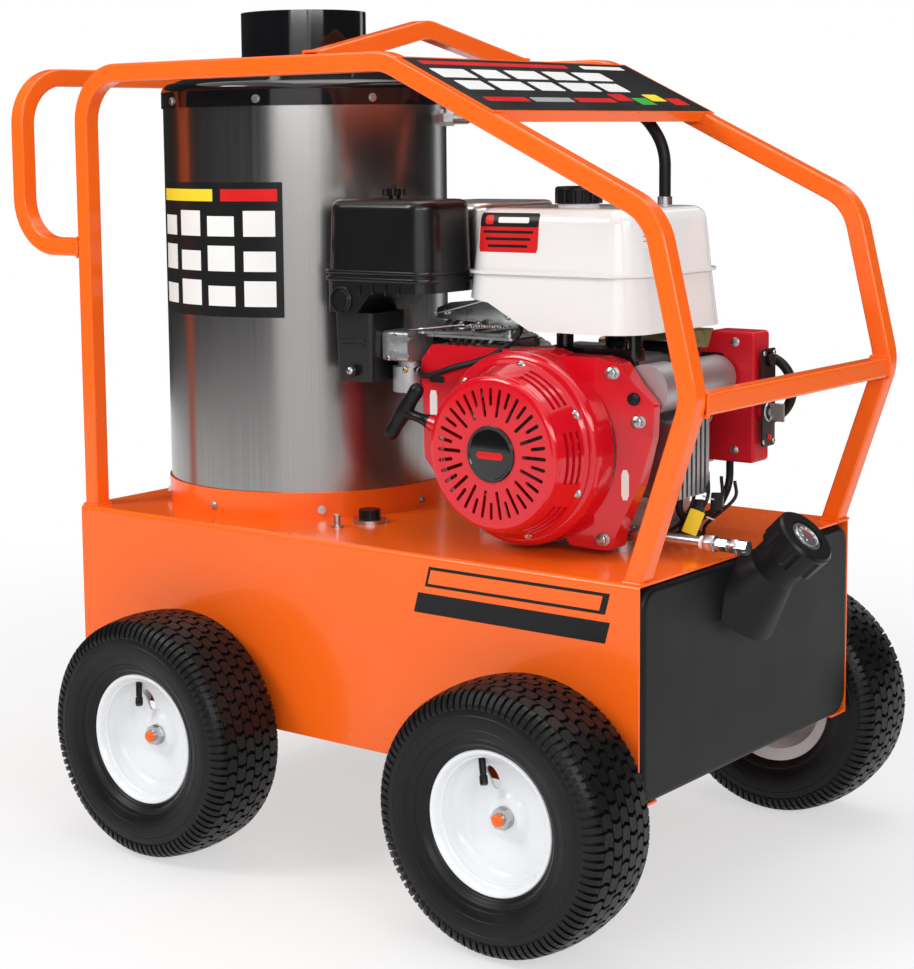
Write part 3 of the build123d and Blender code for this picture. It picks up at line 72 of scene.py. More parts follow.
# ------------------------------------------------------------------ shader values
class Value:
    """A number that varies over a surface; arithmetic on it adds Math nodes."""

    def __init__(self, finish, socket):
        self.finish = finish
        self.socket = socket

    def _math(self, operation, first, second=None):
        node = self.finish.node("ShaderNodeMath", operation=operation)
        for index, value in enumerate((first, second)):
            if isinstance(value, Value):
                self.finish.link(value.socket, node.inputs[index])
            elif value is not None:
                node.inputs[index].default_value = value
        return Value(self.finish, node.outputs[0])

    def __add__(self, other):
        return self._math("ADD", self, other)

    __radd__ = __add__

    def __sub__(self, other):
        return self._math("SUBTRACT", self, other)

    def __rsub__(self, other):
        return self._math("SUBTRACT", other, self)

    def __mul__(self, other):
        return self._math("MULTIPLY", self, other)

    __rmul__ = __mul__

    def __pow__(self, other):
        return self._math("POWER", self, other)

    def above(self, limit):
        return self._math("GREATER_THAN", self, limit)

    def below(self, limit):
        return self._math("LESS_THAN", self, limit)

    def size(self):
        return self._math("ABSOLUTE", self)

    def smooth(self, low, high):
        """0 below low, 1 above high, eased between."""
        node = self.finish.node("ShaderNodeMapRange", interpolation_type="SMOOTHSTEP")
        self.finish.link(self.socket, node.inputs["Value"])
        node.inputs["From Min"].default_value = low
        node.inputs["From Max"].default_value = high
        return Value(self.finish, node.outputs["Result"])


class Finish:
    """A Principled material built in script; fixed numbers go straight on its sockets."""

    def __init__(self, name, colour, roughness, metallic=0.0, **fixed):
        self.material = bpy.data.materials.new(name)
        self.material.use_nodes = True
        self.tree = self.material.node_tree
        self.shader = self.tree.nodes["Principled BSDF"]
        self.colour = (*colour, 1.0)
        self.shader.inputs["Base Color"].default_value = self.colour
        self.shader.inputs["Roughness"].default_value = roughness
        self.shader.inputs["Metallic"].default_value = metallic
        for key, value in fixed.items():
            self.shader.inputs[key.replace("_", " ")].default_value = value
        self.place = self.node("ShaderNodeTexCoord").outputs["Object"]

    def node(self, kind, **settings):
        made = self.tree.nodes.new(kind)
        for key, value in settings.items():
            setattr(made, key, value)
        return made

    def link(self, source, target):
        self.tree.links.new(source, target)

    def stretched(self, scale):
        mapping = self.node("ShaderNodeMapping")
        mapping.inputs["Scale"].default_value = scale
        self.link(self.place, mapping.inputs["Vector"])
        return mapping.outputs["Vector"]

    def noise(self, scale, detail=2.0, stretch=None, roughness=0.5):
        made = self.node("ShaderNodeTexNoise")
        made.inputs["Scale"].default_value = scale
        made.inputs["Detail"].default_value = detail
        made.inputs["Roughness"].default_value = roughness
        self.link(self.stretched(stretch) if stretch else self.place, made.inputs["Vector"])
        return Value(self, made.outputs["Fac"])

    def coordinates(self):
        split = self.node("ShaderNodeSeparateXYZ")
        self.link(self.place, split.inputs[0])
        return [Value(self, split.outputs[index]) for index in range(3)]

    def facing(self):
        """Components of the surface's own normal."""
        split = self.node("ShaderNodeSeparateXYZ")
        self.link(self.node("ShaderNodeNewGeometry").outputs["Normal"], split.inputs[0])
        return [Value(self, split.outputs[index]) for index in range(3)]

    def tint(self, mask, colour, base=None):
        """Mixes a colour in where the mask is 1; returns the colour socket."""
        mix = self.node("ShaderNodeMix", data_type="RGBA")
        self.link(mask.socket, mix.inputs[0])
        if base is None:
            mix.inputs[6].default_value = self.colour
        else:
            self.link(base, mix.inputs[6])
        mix.inputs[7].default_value = (*colour, 1.0)
        self.link(mix.outputs[2], self.shader.inputs["Base Color"])
        return mix.outputs[2]

    def drive(self, socket, value):
        self.link(value.socket, self.shader.inputs[socket])

    def bump(self, height, strength, distance):
        made = self.node("ShaderNodeBump")
        made.inputs["Strength"].default_value = strength
        made.inputs["Distance"].default_value = distance
        self.link(height.socket, made.inputs["Height"])
        self.link(made.outputs["Normal"], self.shader.inputs["Normal"])


def painted(name, colour, roughness=0.22, peel=0.06, dust=(0.5, 0.42, 0.34), dust_share=0.05, coat=0.3):
    """Gloss paint with faint orange peel and a little settled dust."""
    made = Finish(name, colour, roughness, Coat_Weight=coat, Coat_Roughness=0.06, Specular_IOR_Level=0.3)
    cloud = made.noise(9.0, 4.0)
    made.tint((cloud.smooth(0.45, 0.8)) * dust_share, dust)
    made.drive("Roughness", cloud * 0.1 + (roughness - 0.05))
    made.bump(made.noise(520.0, 1.0), peel, 0.0006)
    return made


def moulded(name, colour, roughness=0.42, grain=900.0, strength=0.16):
    """Moulded plastic with a fine grain."""
    made = Finish(name, colour, roughness, Specular_IOR_Level=0.22)
    cloud = made.noise(14.0, 3.0)
    made.tint(cloud.smooth(0.4, 0.9) * 0.3, [min(1.0, channel * 1.4 + 0.002) for channel in colour])
    made.drive("Roughness", cloud * 0.16 + (roughness - 0.08))
    made.bump(made.noise(grain, 2.0), strength, 0.0004)
    return made


def plated(name, colour, roughness=0.24, stain=(0.35, 0.33, 0.28)):
    """Plated or bare metal with faint handling marks."""
    made = Finish(name, colour, roughness, 1.0)
    cloud = made.noise(60.0, 5.0)
    made.tint(cloud.smooth(0.5, 0.85) * 0.3, stain)
    made.drive("Roughness", cloud * 0.25 + (roughness - 0.1))
    made.bump(made.noise(700.0, 2.0), 0.05, 0.0003)
    return made


def cast(name, colour, roughness=0.5, grain=420.0):
    """Sand- or die-cast metal, grainy, darker in its pores."""
    made = Finish(name, colour, roughness, 0.85)
    pores = made.noise(grain, 3.0)
    cloud = made.noise(22.0, 4.0)
    made.tint(cloud.smooth(0.35, 0.8) * 0.5, [channel * 0.55 for channel in colour])
    made.drive("Roughness", pores * 0.3 + (roughness - 0.15))
    made.bump(pores, 0.35, 0.0007)
    return made


orange = painted("orange_powder_coat", (0.95, 0.133, 0.008), 0.26, dust_share=0.02, coat=0.22)
white_enamel = painted("white_enamel", (0.80, 0.82, 0.84), 0.2, dust_share=0.03)
tank_white = painted("tank_white", (0.79, 0.79, 0.78), 0.18, dust_share=0.01, coat=0.5)
red = painted("red_enamel", (0.62, 0.004, 0.014), 0.15, dust_share=0.01, coat=0.6)
black_gloss = painted("black_gloss", (0.006, 0.006, 0.007), 0.1, dust_share=0.01, coat=0.6)
red_plastic = moulded("red_plastic", (0.52, 0.01, 0.02), 0.3, strength=0.06)
tank_plastic = moulded("tank_polyethylene", (0.0055, 0.0058, 0.0066), 0.44, 700.0, 0.16)
black_plastic = moulded("black_plastic", (0.0065, 0.0065, 0.007), 0.32, 900.0, 0.1)
zinc = plated("bright_zinc", (0.52, 0.53, 0.53), 0.28)
steel = plated("machined_steel", (0.50, 0.49, 0.47), 0.3)
galvanised = plated("galvanised", (0.56, 0.57, 0.58), 0.38)
brass = plated("pump_brass", (0.60, 0.44, 0.18), 0.26)
alloy = cast("cast_alloy", (0.52, 0.53, 0.54), 0.44)
iron = cast("cast_iron", (0.16, 0.16, 0.165), 0.55)
hose = moulded("hose_rubber", (0.007, 0.007, 0.0075), 0.45, 1100.0, 0.2)

stainless = Finish("brushed_stainless", (0.37, 0.36, 0.355), 0.26, 1.0)
brushed = stainless.noise(1.0, 2.0, stretch=(420.0, 420.0, 1.6), roughness=0.6)
stainless.tint(brushed.smooth(0.35, 0.75) * 0.25, (0.29, 0.28, 0.275))
stainless.drive("Roughness", brushed * 0.12 + 0.17)
stainless.bump(brushed, 0.03, 0.0003)

tyre_black = Finish("tyre_rubber", (0.0055, 0.0056, 0.006), 0.42, Specular_IOR_Level=0.24)
grime = tyre_black.noise(38.0, 5.0)
tyre_black.tint(grime.smooth(0.5, 0.9) * 0.2, (0.035, 0.033, 0.031))
tyre_black.drive("Roughness", grime * 0.25 + 0.27)
tyre_black.bump(tyre_black.noise(600.0, 2.0), 0.2, 0.0005)

gauge_glass = Finish("gauge_glass", (0.10, 0.105, 0.11), 0.06, 0.0, Coat_Weight=1.0)
gauge_glass.drive("Roughness", gauge_glass.noise(80.0) * 0.1 + 0.03)

cleaner_black = Finish("cleaner_black", (0.006, 0.006, 0.0065), 0.28, Coat_Weight=0.3, Coat_Roughness=0.14,
                       Specular_IOR_Level=0.3)
haze = cleaner_black.noise(16.0, 3.0)
cleaner_black.drive("Roughness", haze * 0.14 + 0.22)
cleaner_black.bump(cleaner_black.noise(640.0, 2.0), 0.05, 0.0003)

plain_black = moulded("label_black", (0.010, 0.010, 0.011), 0.32, 300.0, 0.03)
plain_white = moulded("label_white", (0.78, 0.78, 0.76), 0.34, 300.0, 0.03)
plain_red = moulded("label_red", (0.62, 0.012, 0.012), 0.32, 300.0, 0.03)
plain_yellow = moulded("label_yellow", (0.85, 0.62, 0.03), 0.34, 300.0, 0.03)
plain_grey = moulded("label_grey", (0.33, 0.34, 0.35), 0.34, 300.0, 0.03)
plain_green = moulded("label_green", (0.05, 0.36, 0.06), 0.34, 300.0, 0.03)

slot_finish = {
    "orange_paint": orange, "tyre_rubber": tyre_black, "rim_white": white_enamel, "zinc": zinc,
    "stainless": stainless, "black_gloss": black_gloss, "pe_tank": tank_plastic,
    "black_plastic": black_plastic, "red_gloss": red, "red_plastic": red_plastic,
    "cast_alloy": alloy, "white_gloss": tank_white, "steel": steel, "iron": iron,
    "pump_brass": brass, "hose_rubber": hose, "gauge_glass": gauge_glass,
    "galvanised": galvanised,
}
for entry in frame["record"]["subparts"]:
    shown = nodes[entry["node"]]
    shown.data.materials.clear()
    shown.data.materials.append(slot_finish[entry["material_slot"]].material)
for name in ("air_cleaner_base", "air_cleaner_cover", "air_cleaner_knob"):
    nodes[name].data.materials.clear()
    nodes[name].data.materials.append(cleaner_black.material)


# ------------------------------------------------------------------ shaping
def turned(x_dir, z_dir, origin):
    """Placement whose local x and z point as given."""
    z = Vector(z_dir).normalized()
    x = Vector(x_dir)
    x = (x - z * x.dot(z)).normalized()
    y = z.cross(x)
    turn = Matrix((x, y, z)).transposed().to_4x4()
    return Matrix.Translation(Vector(origin)) @ turn


def shape(name, vertices, faces, finish, smooth=True):
    mesh = bpy.data.meshes.new(name)
    mesh.from_pydata([tuple(v) for v in vertices], [], faces)
    made = bpy.data.objects.new(name, mesh)
    bpy.context.scene.collection.objects.link(made)
    made.data.materials.append(finish.material)
    tidy(made, smooth)
    return made


def tidy(made, smooth=True, angle=35):
    """Merges doubles, turns faces outwards and sets the shading."""
    work = bmesh.new()
    work.from_mesh(made.data)
    bmesh.ops.remove_doubles(work, verts=work.verts, dist=1e-6)
    bmesh.ops.recalc_face_normals(work, faces=work.faces)
    for face in work.faces:
        face.smooth = smooth
    limit = radians(angle)
    for edge in work.edges:
        edge.smooth = not (len(edge.link_faces) == 2 and edge.calc_face_angle(0) > limit)
    work.to_mesh(made.data)
    work.free()
    return made


def settle(made):
    """Turns an object with modifiers into a plain mesh."""
    bpy.context.view_layer.update()
    ready = made.evaluated_get(bpy.context.evaluated_depsgraph_get())
    mesh = bpy.data.meshes.new_from_object(ready)
    made.modifiers.clear()
    if made.type == "MESH":
        made.data = mesh
        return made
    plain = bpy.data.objects.new(made.name + "_mesh", mesh)
    bpy.context.scene.collection.objects.link(plain)
    name = made.name
    bpy.data.objects.remove(made)
    plain.name = name
    return plain


def join(name, *parts):
    """Joins finished meshes into one, each keeping its own material."""
    bpy.context.view_layer.update()
    work = bmesh.new()
    materials = []
    for part in parts:
        start = len(work.faces)
        work.from_mesh(part.data)
        work.faces.ensure_lookup_table()
        slots = []
        for material in part.data.materials:
            if material not in materials:
                materials.append(material)
            slots.append(materials.index(material))
        for face in work.faces[start:]:
            face.material_index = slots[min(face.material_index, len(slots) - 1)]
    mesh = bpy.data.meshes.new(name)
    work.to_mesh(mesh)
    work.free()
    for material in materials:
        mesh.materials.append(material)
    for part in parts:
        bpy.data.objects.remove(part)
    made = bpy.data.objects.new(name, mesh)
    bpy.context.scene.collection.objects.link(made)
    return made


def place(made, matrix):
    made.data.transform(matrix)
    return made


def mount(made, body, slot, *replaced):
    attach(made, body)
    if replaced:
        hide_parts(*replaced)
    return made


def curve_through(points, steps=6):
    """Catmull-Rom points through a short list of 2-D or 3-D points."""
    points = [Vector(p) for p in points]
    padded = [points[0] * 2 - points[1], *points, points[-1] * 2 - points[-2]]
    out = []
    for a, b, c, d in zip(padded, padded[1:], padded[2:], padded[3:]):
        for step in range(steps):
            t = step / steps
            out.append(0.5 * ((2 * b) + (c - a) * t + (2 * a - 5 * b + 4 * c - d) * t * t
                              + (3 * b - a - 3 * c + d) * t * t * t))
    out.append(points[-1])
    return out


def lathe(name, profile, finish, steps=64, closed=False, matrix=None, angle=35):
    """Turns (radius, height) pairs about local z."""
    vertices, faces = [], []
    count = len(profile)
    for step in range(steps):
        turn = 2 * pi * step / steps
        vertices += [(r * cos(turn), r * sin(turn), h) for r, h in profile]
    for step in range(steps):
        here, after = step * count, (step + 1) % steps * count
        for k in range(count if closed else count - 1):
            n = (k + 1) % count
            faces.append((here + k, here + n, after + n, after + k))
    made = shape(name, vertices, faces, finish)
    tidy(made, True, angle)
    return place(made, matrix) if matrix else made


def prism(name, outline, low, high, finish, bevel=0.0, segments=2, matrix=None, smooth=True):
    """Extrudes a closed 2-D outline along local z and rounds its edges."""
    count = len(outline)
    vertices = [(x, y, low) for x, y in outline] + [(x, y, high) for x, y in outline]
    faces = [tuple(reversed(range(count))), tuple(range(count, 2 * count))]
    faces += [(k, (k + 1) % count, count + (k + 1) % count, count + k) for k in range(count)]
    made = shape(name, vertices, faces, finish, smooth)
    if bevel:
        rounding = made.modifiers.new("edge", "BEVEL")
        rounding.width = bevel
        rounding.segments = segments
        rounding.limit_method = "ANGLE"
        rounding.angle_limit = radians(25)
        settle(made)
        tidy(made, smooth, 40)
    return place(made, matrix) if matrix else made


def rounded(width, height, radius, segments=5):
    """Outline of a rounded rectangle about the origin."""
    out = []
    for cx, cy, start in ((1, 1, 0), (-1, 1, 90), (-1, -1, 180), (1, -1, 270)):
        for step in range(segments + 1):
            turn = radians(start + 90 * step / segments)
            out.append((cx * (width / 2 - radius) + radius * cos(turn),
                        cy * (height / 2 - radius) + radius * sin(turn)))
    return out


def ring_outline(radius, sides, start=0.0):
    return [(radius * cos(2 * pi * k / sides + start), radius * sin(2 * pi * k / sides + start))
            for k in range(sides)]


def wire(name, points, radius, finish, sides=4, cyclic=False):
    """Round rod or cable along a smooth line."""
    line = bpy.data.curves.new(name, "CURVE")
    line.dimensions = "3D"
    line.bevel_depth = radius
    line.bevel_resolution = sides
    line.resolution_u = 8
    line.use_fill_caps = True
    spline = line.splines.new("NURBS")
    spline.points.add(len(points) - 1)
    for point, where in zip(spline.points, points):
        point.co = (*where, 1.0)
    spline.order_u = 3
    spline.use_endpoint_u = True
    spline.use_cyclic_u = cyclic
    made = bpy.data.objects.new(name, line)
    bpy.context.scene.collection.objects.link(made)
    made = settle(made)
    made.data.materials.clear()
    made.data.materials.append(finish.material)
    return tidy(made)


def repeat_tree():
    """Geometry nodes: copies of a shape, each turned and moved a step on from the last."""
    tree = bpy.data.node_groups.new("copies_in_a_row", "GeometryNodeTree")
    face = tree.interface
    face.new_socket("Geometry", in_out="INPUT", socket_type="NodeSocketGeometry")
    face.new_socket("Count", in_out="INPUT", socket_type="NodeSocketInt")
    face.new_socket("Turn", in_out="INPUT", socket_type="NodeSocketVector")
    face.new_socket("Step", in_out="INPUT", socket_type="NodeSocketVector")
    face.new_socket("Material", in_out="INPUT", socket_type="NodeSocketMaterial")
    face.new_socket("Geometry", in_out="OUTPUT", socket_type="NodeSocketGeometry")
    new = tree.nodes.new
    source, sink = new("NodeGroupInput"), new("NodeGroupOutput")
    line = new("GeometryNodeMeshLine")
    index = new("GeometryNodeInputIndex")
    turn = new("ShaderNodeVectorMath")
    turn.operation = "SCALE"
    copies = new("GeometryNodeInstanceOnPoints")
    real = new("GeometryNodeRealizeInstances")
    paint = new("GeometryNodeSetMaterial")
    link = tree.links.new
    link(source.outputs["Count"], line.inputs["Count"])
    link(source.outputs["Step"], line.inputs["Offset"])
    link(source.outputs["Turn"], turn.inputs[0])
    link(index.outputs[0], turn.inputs["Scale"])
    link(line.outputs["Mesh"], copies.inputs["Points"])
    link(source.outputs["Geometry"], copies.inputs["Instance"])
    link(turn.outputs[0], copies.inputs["Rotation"])
    link(copies.outputs[0], real.inputs[0])
    link(real.outputs[0], paint.inputs["Geometry"])
    link(source.outputs["Material"], paint.inputs["Material"])
    link(paint.outputs[0], sink.inputs[0])
    return tree


copies_in_a_row = repeat_tree()


def repeat(unit, count, turn=(0, 0, 0), step=(0, 0, 0)):
    """Copies unit count times; copy k is turned about the origin and moved k steps."""
    modifier = unit.modifiers.new("copies", "NODES")
    modifier.node_group = copies_in_a_row
    names = {item.name: item.identifier for item in copies_in_a_row.interface.items_tree
             if item.in_out == "INPUT"}
    modifier[names["Count"]] = count
    modifier[names["Turn"]] = turn
    modifier[names["Step"]] = step
    modifier[names["Material"]] = unit.data.materials[0]
    return settle(unit)


# ------------------------------------------------------------------ wheels
tyre_low, tyre_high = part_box("tyre_front_near")
tyre_r = (tyre_high.z - tyre_low.z) / 2
tyre_half = (tyre_high.y - tyre_low.y) / 2
rim_low, rim_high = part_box("rim_front_near")
rim_r = (rim_high.z - rim_low.z) / 2
rim_half = (rim_high.y - rim_low.y) / 2
lug_depth = 8.0 * MM
tread_pitches = 48


def tread_top(y):
    """Radius of the lug tops across the tread."""
    return tyre_r - 5.5 * MM * (y / (0.81 * tyre_half)) ** 2


def tread_block(outline, depth=lug_depth):
    """One lug from its outline of (run along the tread, place across it)."""
    count = len(outline)
    vertices = []
    for sink, grow in ((0.0, 1.0), (depth + 0.5 * MM, 1.14)):
        middle_s = sum(s for s, _ in outline) / count
        middle_y = sum(y for _, y in outline) / count
        for s, y in outline:
            s = middle_s + (s - middle_s) * grow
            y = middle_y + (y - middle_y) * grow
            r = tread_top(y) - sink
            turn = s / tyre_r
            vertices.append((r * sin(turn), y, r * cos(turn)))
    faces = [tuple(range(count))]
    faces += [(k, (k + 1) % count, count + (k + 1) % count, count + k) for k in range(count)]
    return vertices, faces


def shoulder_block(side, start, run):
    """A lug that wraps from the tread's edge down on to the sidewall."""
    outer = ((47.5, 161.8), (53.0, 159.6), (58.0, 154.6), (61.4, 147.5), (61.9, 143.0))
    inner = ((47.5, 155.0), (52.0, 154.0), (56.0, 150.0), (59.5, 144.0), (60.8, 140.0))
    vertices, faces = [], []
    for edge in (start, start + run):
        for line in (outer, inner):
            for index, (y, r) in enumerate(line):
                lean = 1.8 * MM * index / len(line)
                turn = (edge + lean) / tyre_r
                vertices.append((r * MM * sin(turn), side * y * MM, r * MM * cos(turn)))
    n = len(outer)
    for k in range(n - 1):
        faces.append((k, k + 1, 2 * n + k + 1, 2 * n + k))
        faces.append((k, k + 1, n + k + 1, n + k))
        faces.append((2 * n + k, 2 * n + k + 1, 3 * n + k + 1, 3 * n + k))
    faces.append((0, n, 3 * n, 2 * n))
    faces.append((n - 1, 2 * n - 1, 4 * n - 1, 3 * n - 1))
    return vertices, faces


def tread_unit():
    """The lugs of one pitch: staggered bricks across the crown, ribs at the shoulders."""
    pitch = 2 * pi * tyre_r / tread_pitches
    rows = 6
    row_w = 95.0 * MM / rows
    half_s, half_y, notch = 0.385 * pitch, 0.45 * row_w, 3.0 * MM
    vertices, faces = [], []

    def add(block):
        shift = len(vertices)
        vertices.extend(block[0])
        faces.extend(tuple(shift + k for k in face) for face in block[1])

    for row in range(rows):
        y = (row - (rows - 1) / 2) * row_w
        s = 0.5 * pitch * (row % 2)
        lean = notch if row % 2 else -notch
        add(tread_block([
            (s - half_s, y - half_y), (s - half_s + lean, y), (s - half_s, y + half_y),
            (s + half_s, y + half_y), (s + half_s + lean, y), (s + half_s, y - half_y)]))
    for side in (-1, 1):
        for half in range(2):
            start = 0.5 * pitch * half + 0.12 * pitch * side
            add(shoulder_block(side, start, (0.33 if half else 0.3) * pitch))
    return shape("tread_unit", vertices, faces, tyre_black, smooth=False)


def make_tyre_piece(name):
    section = [(44, 88.6), (47.5, 90.8), (50, 95), (54.5, 101), (59.5, 112), (62.2, 126), (61.6, 138),
               (58.8, 147), (54.5, 152.6), (48, 156.2), (30, 159.4), (10, 160.6)]
    half = [Vector(p) for p in curve_through(section, 3)]
    # a rim-protector rib and two fine rings on the sidewall
    line = []
    for point in half:
        y, r = point
        if 96.5 < r < 99.0:
            y += 1.6
        line.append((r * MM, min(y, 62.3) * MM))
    profile = line + [(r, -y) for r, y in reversed(line)]
    carcass = lathe("carcass", profile, tyre_black, 112, matrix=turned((1, 0, 0), (0, 1, 0), (0, 0, 0)))
    rings = []
    for r, y in ((104.5, 56.6), (116.0, 60.6), (133.0, 62.2)):
        ring = [(0.7 * cos(t) + r, 0.5 * sin(t) + y) for t in (0, 1.57, 3.14, 4.71)]
        for side in (-1, 1):
            rings.append(lathe("ring", [(a * MM, side * b * MM) for a, b in ring], tyre_black, 96,
                               closed=True, matrix=turned((1, 0, 0), (0, 1, 0), (0, 0, 0))))
    lugs = repeat(tread_unit(), tread_pitches, turn=(0, 2 * pi / tread_pitches, 0))
    return join(name, carcass, lugs, *rings)


def make_rim_piece(name):
    """Pressed dish: rolled flange, deep barrel, stepped disc and hub dimple; +y is outboard."""
    edge, r = rim_half / MM, rim_r / MM
    face = [(r - 3.2, edge - 4.5), (r - 1.0, edge - 4.2), (r - 0.2, edge - 2.2), (r - 1.0, edge - 0.5),
            (r - 3.0, edge - 0.1), (r - 5.6, edge - 1.5), (r - 8.0, edge - 5.0), (r - 10.0, edge - 11.0),
            (76.5, 27.0), (74.5, 20.0), (69.0, 14.5), (62.0, 12.4), (57.5, 10.4), (52.0, 8.6),
            (44.0, 8.0), (34.0, 8.4), (29.0, 10.2), (25.0, 12.6), (20.8, 14.6), (14.0, 15.0), (8.6, 15.0)]
    front = [(a * MM, b * MM) for a, b in curve_through(face, 3)]
    back = [(8.6 * MM, 11.0 * MM), (24.0 * MM, 8.0 * MM), (44.0 * MM, 4.5 * MM), (66.0 * MM, 9.0 * MM),
            (73.5 * MM, -40.0 * MM), (r * MM - 2 * MM, -edge * MM + 1 * MM),
            (r * MM, -edge * MM), (r * MM, -edge * MM + 2 * MM), (77.8 * MM, -38.0 * MM), (77.8 * MM, 36.0 * MM)]
    rim = lathe(name, front + back, white_enamel, 96, closed=True,
                matrix=turned((1, 0, 0), (0, 1, 0), (0, 0, 0)))
    cutter = prism("slot_cutter", rounded(13 * MM, 30 * MM, 6.4 * MM), -12 * MM, 30 * MM, white_enamel,
                   matrix=turned((1, 0, 0), (0, 1, 0), (0, 0, 0)) @ Matrix.Rotation(radians(24), 4, "Z")
                   @ Matrix.Translation((0, -49 * MM, 0)))
    cut = rim.modifiers.new("valve_slot", "BOOLEAN")
    cut.operation = "DIFFERENCE"
    cut.object = cutter
    cut.solver = "EXACT"
    settle(rim)
    bpy.data.objects.remove(cutter)
    tidy(rim, True, 45)
    rim.data.materials.clear()
    rim.data.materials.append(white_enamel.material)
    return rim


def make_valve(name):
    """Snap-in valve: rubber stem leaning out through the slot, with a cap."""
    profile = [(0.1, -4), (5.4, -4), (5.4, 0), (4.4, 3), (4.2, 20), (3.8, 22), (5.0, 23), (5.2, 31), (4.6, 34), (0.1, 34.5)]
    return lathe(name, [(a * MM, b * MM) for a, b in profile], black_plastic, 20)


def make_axle_cap(name):
    """Rounded painted end of the axle, proud of the nut."""
    profile = [(0.05, 6.4), (4.0, 6.2), (6.4, 5.0), (7.9, 2.4), (8.0, 0)]
    return lathe(name, [(a * MM, b * MM) for a, b in profile], orange, 28)


tyre_master = make_tyre_piece("tyre_master")
rim_master = make_rim_piece("rim_master")
for place_name in ("front", "rear"):
    for flank, side in (("near", -1), ("far", 1)):
        body = f"wheel_{place_name}_{flank}"
        low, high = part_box(f"tyre_{place_name}_{flank}")
        centre = (low + high) / 2
        outboard = turned((side, 0, 0), (0, 0, 1), centre) if side > 0 else (
            Matrix.Translation(centre) @ Matrix.Rotation(pi, 4, "Z"))
        for label, master, cad_slot in (("tyre", tyre_master, "tyre_rubber"), ("rim", rim_master, "rim_white")):
            copy = bpy.data.objects.new(f"{label}_{place_name}_{flank}_shown", master.data.copy())
            bpy.context.scene.collection.objects.link(copy)
            mount(place(copy, outboard), body, cad_slot, f"{label}_{place_name}_{flank}")
        turn = radians(-24)
        root = outboard @ Vector((76 * MM * sin(turn) * -1, 18 * MM, 76 * MM * cos(turn)))
        lean = (outboard.to_3x3() @ Vector((sin(turn), 0.42, -cos(turn))))
        valve = place(make_valve(f"valve_{place_name}_{flank}"), turned((0, 1, 0.01), lean, root))
        mount(valve, body, "black_plastic")
bpy.data.objects.remove(tyre_master)
bpy.data.objects.remove(rim_master)

# ------------------------------------------------------------------ stations
def station(node):
    low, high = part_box(node)
    return low, high, (low + high) / 2


shaft = station("crankshaft")[2]
crank_x, crank_z = shaft.x, shaft.z
recoil_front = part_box("recoil_cover")[0].y
deck_low, deck_high, deck_mid = station("chassis_box")
deck_z = deck_high.z
side_y = deck_low.y
shell_low, shell_high, shell_mid = station("boiler_shell")
boiler_x, boiler_r = shell_mid.x, (shell_high.x - shell_low.x) / 2
tube = 25.4 * MM
cage_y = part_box("cage_far")[1].y - tube / 2
slope = atan2(187.3, 391.0)


def towards_operator(x, y, z):
    """Local x is +X, local y is +Z, local z comes out towards -Y."""
    return turned((1, 0, 0), (0, -1, 0), (x, y, z))


def towards_tank(x, y, z):
    """Local x is +Y, local y is +Z, local z comes out towards +X."""
    return turned((0, 1, 0), (1, 0, 0), (x, y, z))


def upright(x, y, z):
    return Matrix.Translation((x, y, z))


def hex_bolt(name, radius, height, matrix, finish=zinc, washer=True):
    """Flanged hex head with a chamfered crown."""
    head = prism("head", ring_outline(radius, 6), 0, height, finish, bevel=0.12 * radius)
    if not washer:
        place(head, matrix)
        head.name = name
        return head
    lip = lathe("lip", [(1e-5, 0), (1.42 * radius, 0), (1.42 * radius, 0.14 * height),
                        (1.1 * radius, 0.4 * height), (1e-5, 0.4 * height)], finish, 24)
    return place(join(name, head, lip), matrix)


def pan_screw(name, radius, matrix, finish=zinc):
    """Pan head with a cross recess."""
    dome = [(1e-5, 0.62), (0.35, 0.6), (0.7, 0.48), (0.93, 0.26), (1.0, 0.0)]
    head = lathe("head", [(r * radius, h * radius) for r, h in dome], finish, 20)
    arms = []
    for turn in (0, pi / 2):
        arm = prism("arm", rounded(1.15 * radius, 0.24 * radius, 0.05 * radius, 1),
                    0.5 * radius, 0.64 * radius, iron)
        arms.append(place(arm, Matrix.Rotation(turn, 4, "Z")))
    return place(join(name, head, *arms), matrix)


def coil_spring(name, start, end, radius, turns, thickness, finish=steel):
    """Helical spring with hooked ends."""
    start, end = Vector(start), Vector(end)
    along = (end - start).normalized()
    side = along.orthogonal().normalized()
    other = along.cross(side)
    points = [start]
    per_turn = 10
    for step in range(turns * per_turn + 1):
        t = step / (turns * per_turn)
        turn = 2 * pi * step / per_turn
        middle = start.lerp(end, 0.12 + 0.76 * t)
        points.append(middle + radius * (cos(turn) * side + sin(turn) * other))
    points.append(end)
    return wire(name, points, thickness, finish, 2)


def plate(name, width, height, thick, matrix, finish, radius=3 * MM, bevel=0.4 * MM):
    return prism(name, rounded(width, height, radius), 0, thick, finish, bevel=bevel, matrix=matrix)


# ------------------------------------------------------------------ cage welds
def weld_ring(name, centre, x_dir, z_dir, side=tube):
    """Rippled bead round a square tube where it meets a flat surface."""
    half = side / 2 + 0.8 * MM
    ripples = 15
    points = []
    for cx, cy in ((1, -1), (1, 1), (-1, 1), (-1, -1)):
        nx, ny = (-cy, cx)
        for step in range(ripples):
            t = step / ripples
            x = cx * half * (1 - t) + nx * half * t
            y = cy * half * (1 - t) + ny * half * t
            points.append((x, y, (0.7 if step % 2 else 0.2) * MM))
    bead = wire(name, points, 2.1 * MM, orange, 2, cyclic=True)
    return place(bead, turned(x_dir, z_dir, centre))


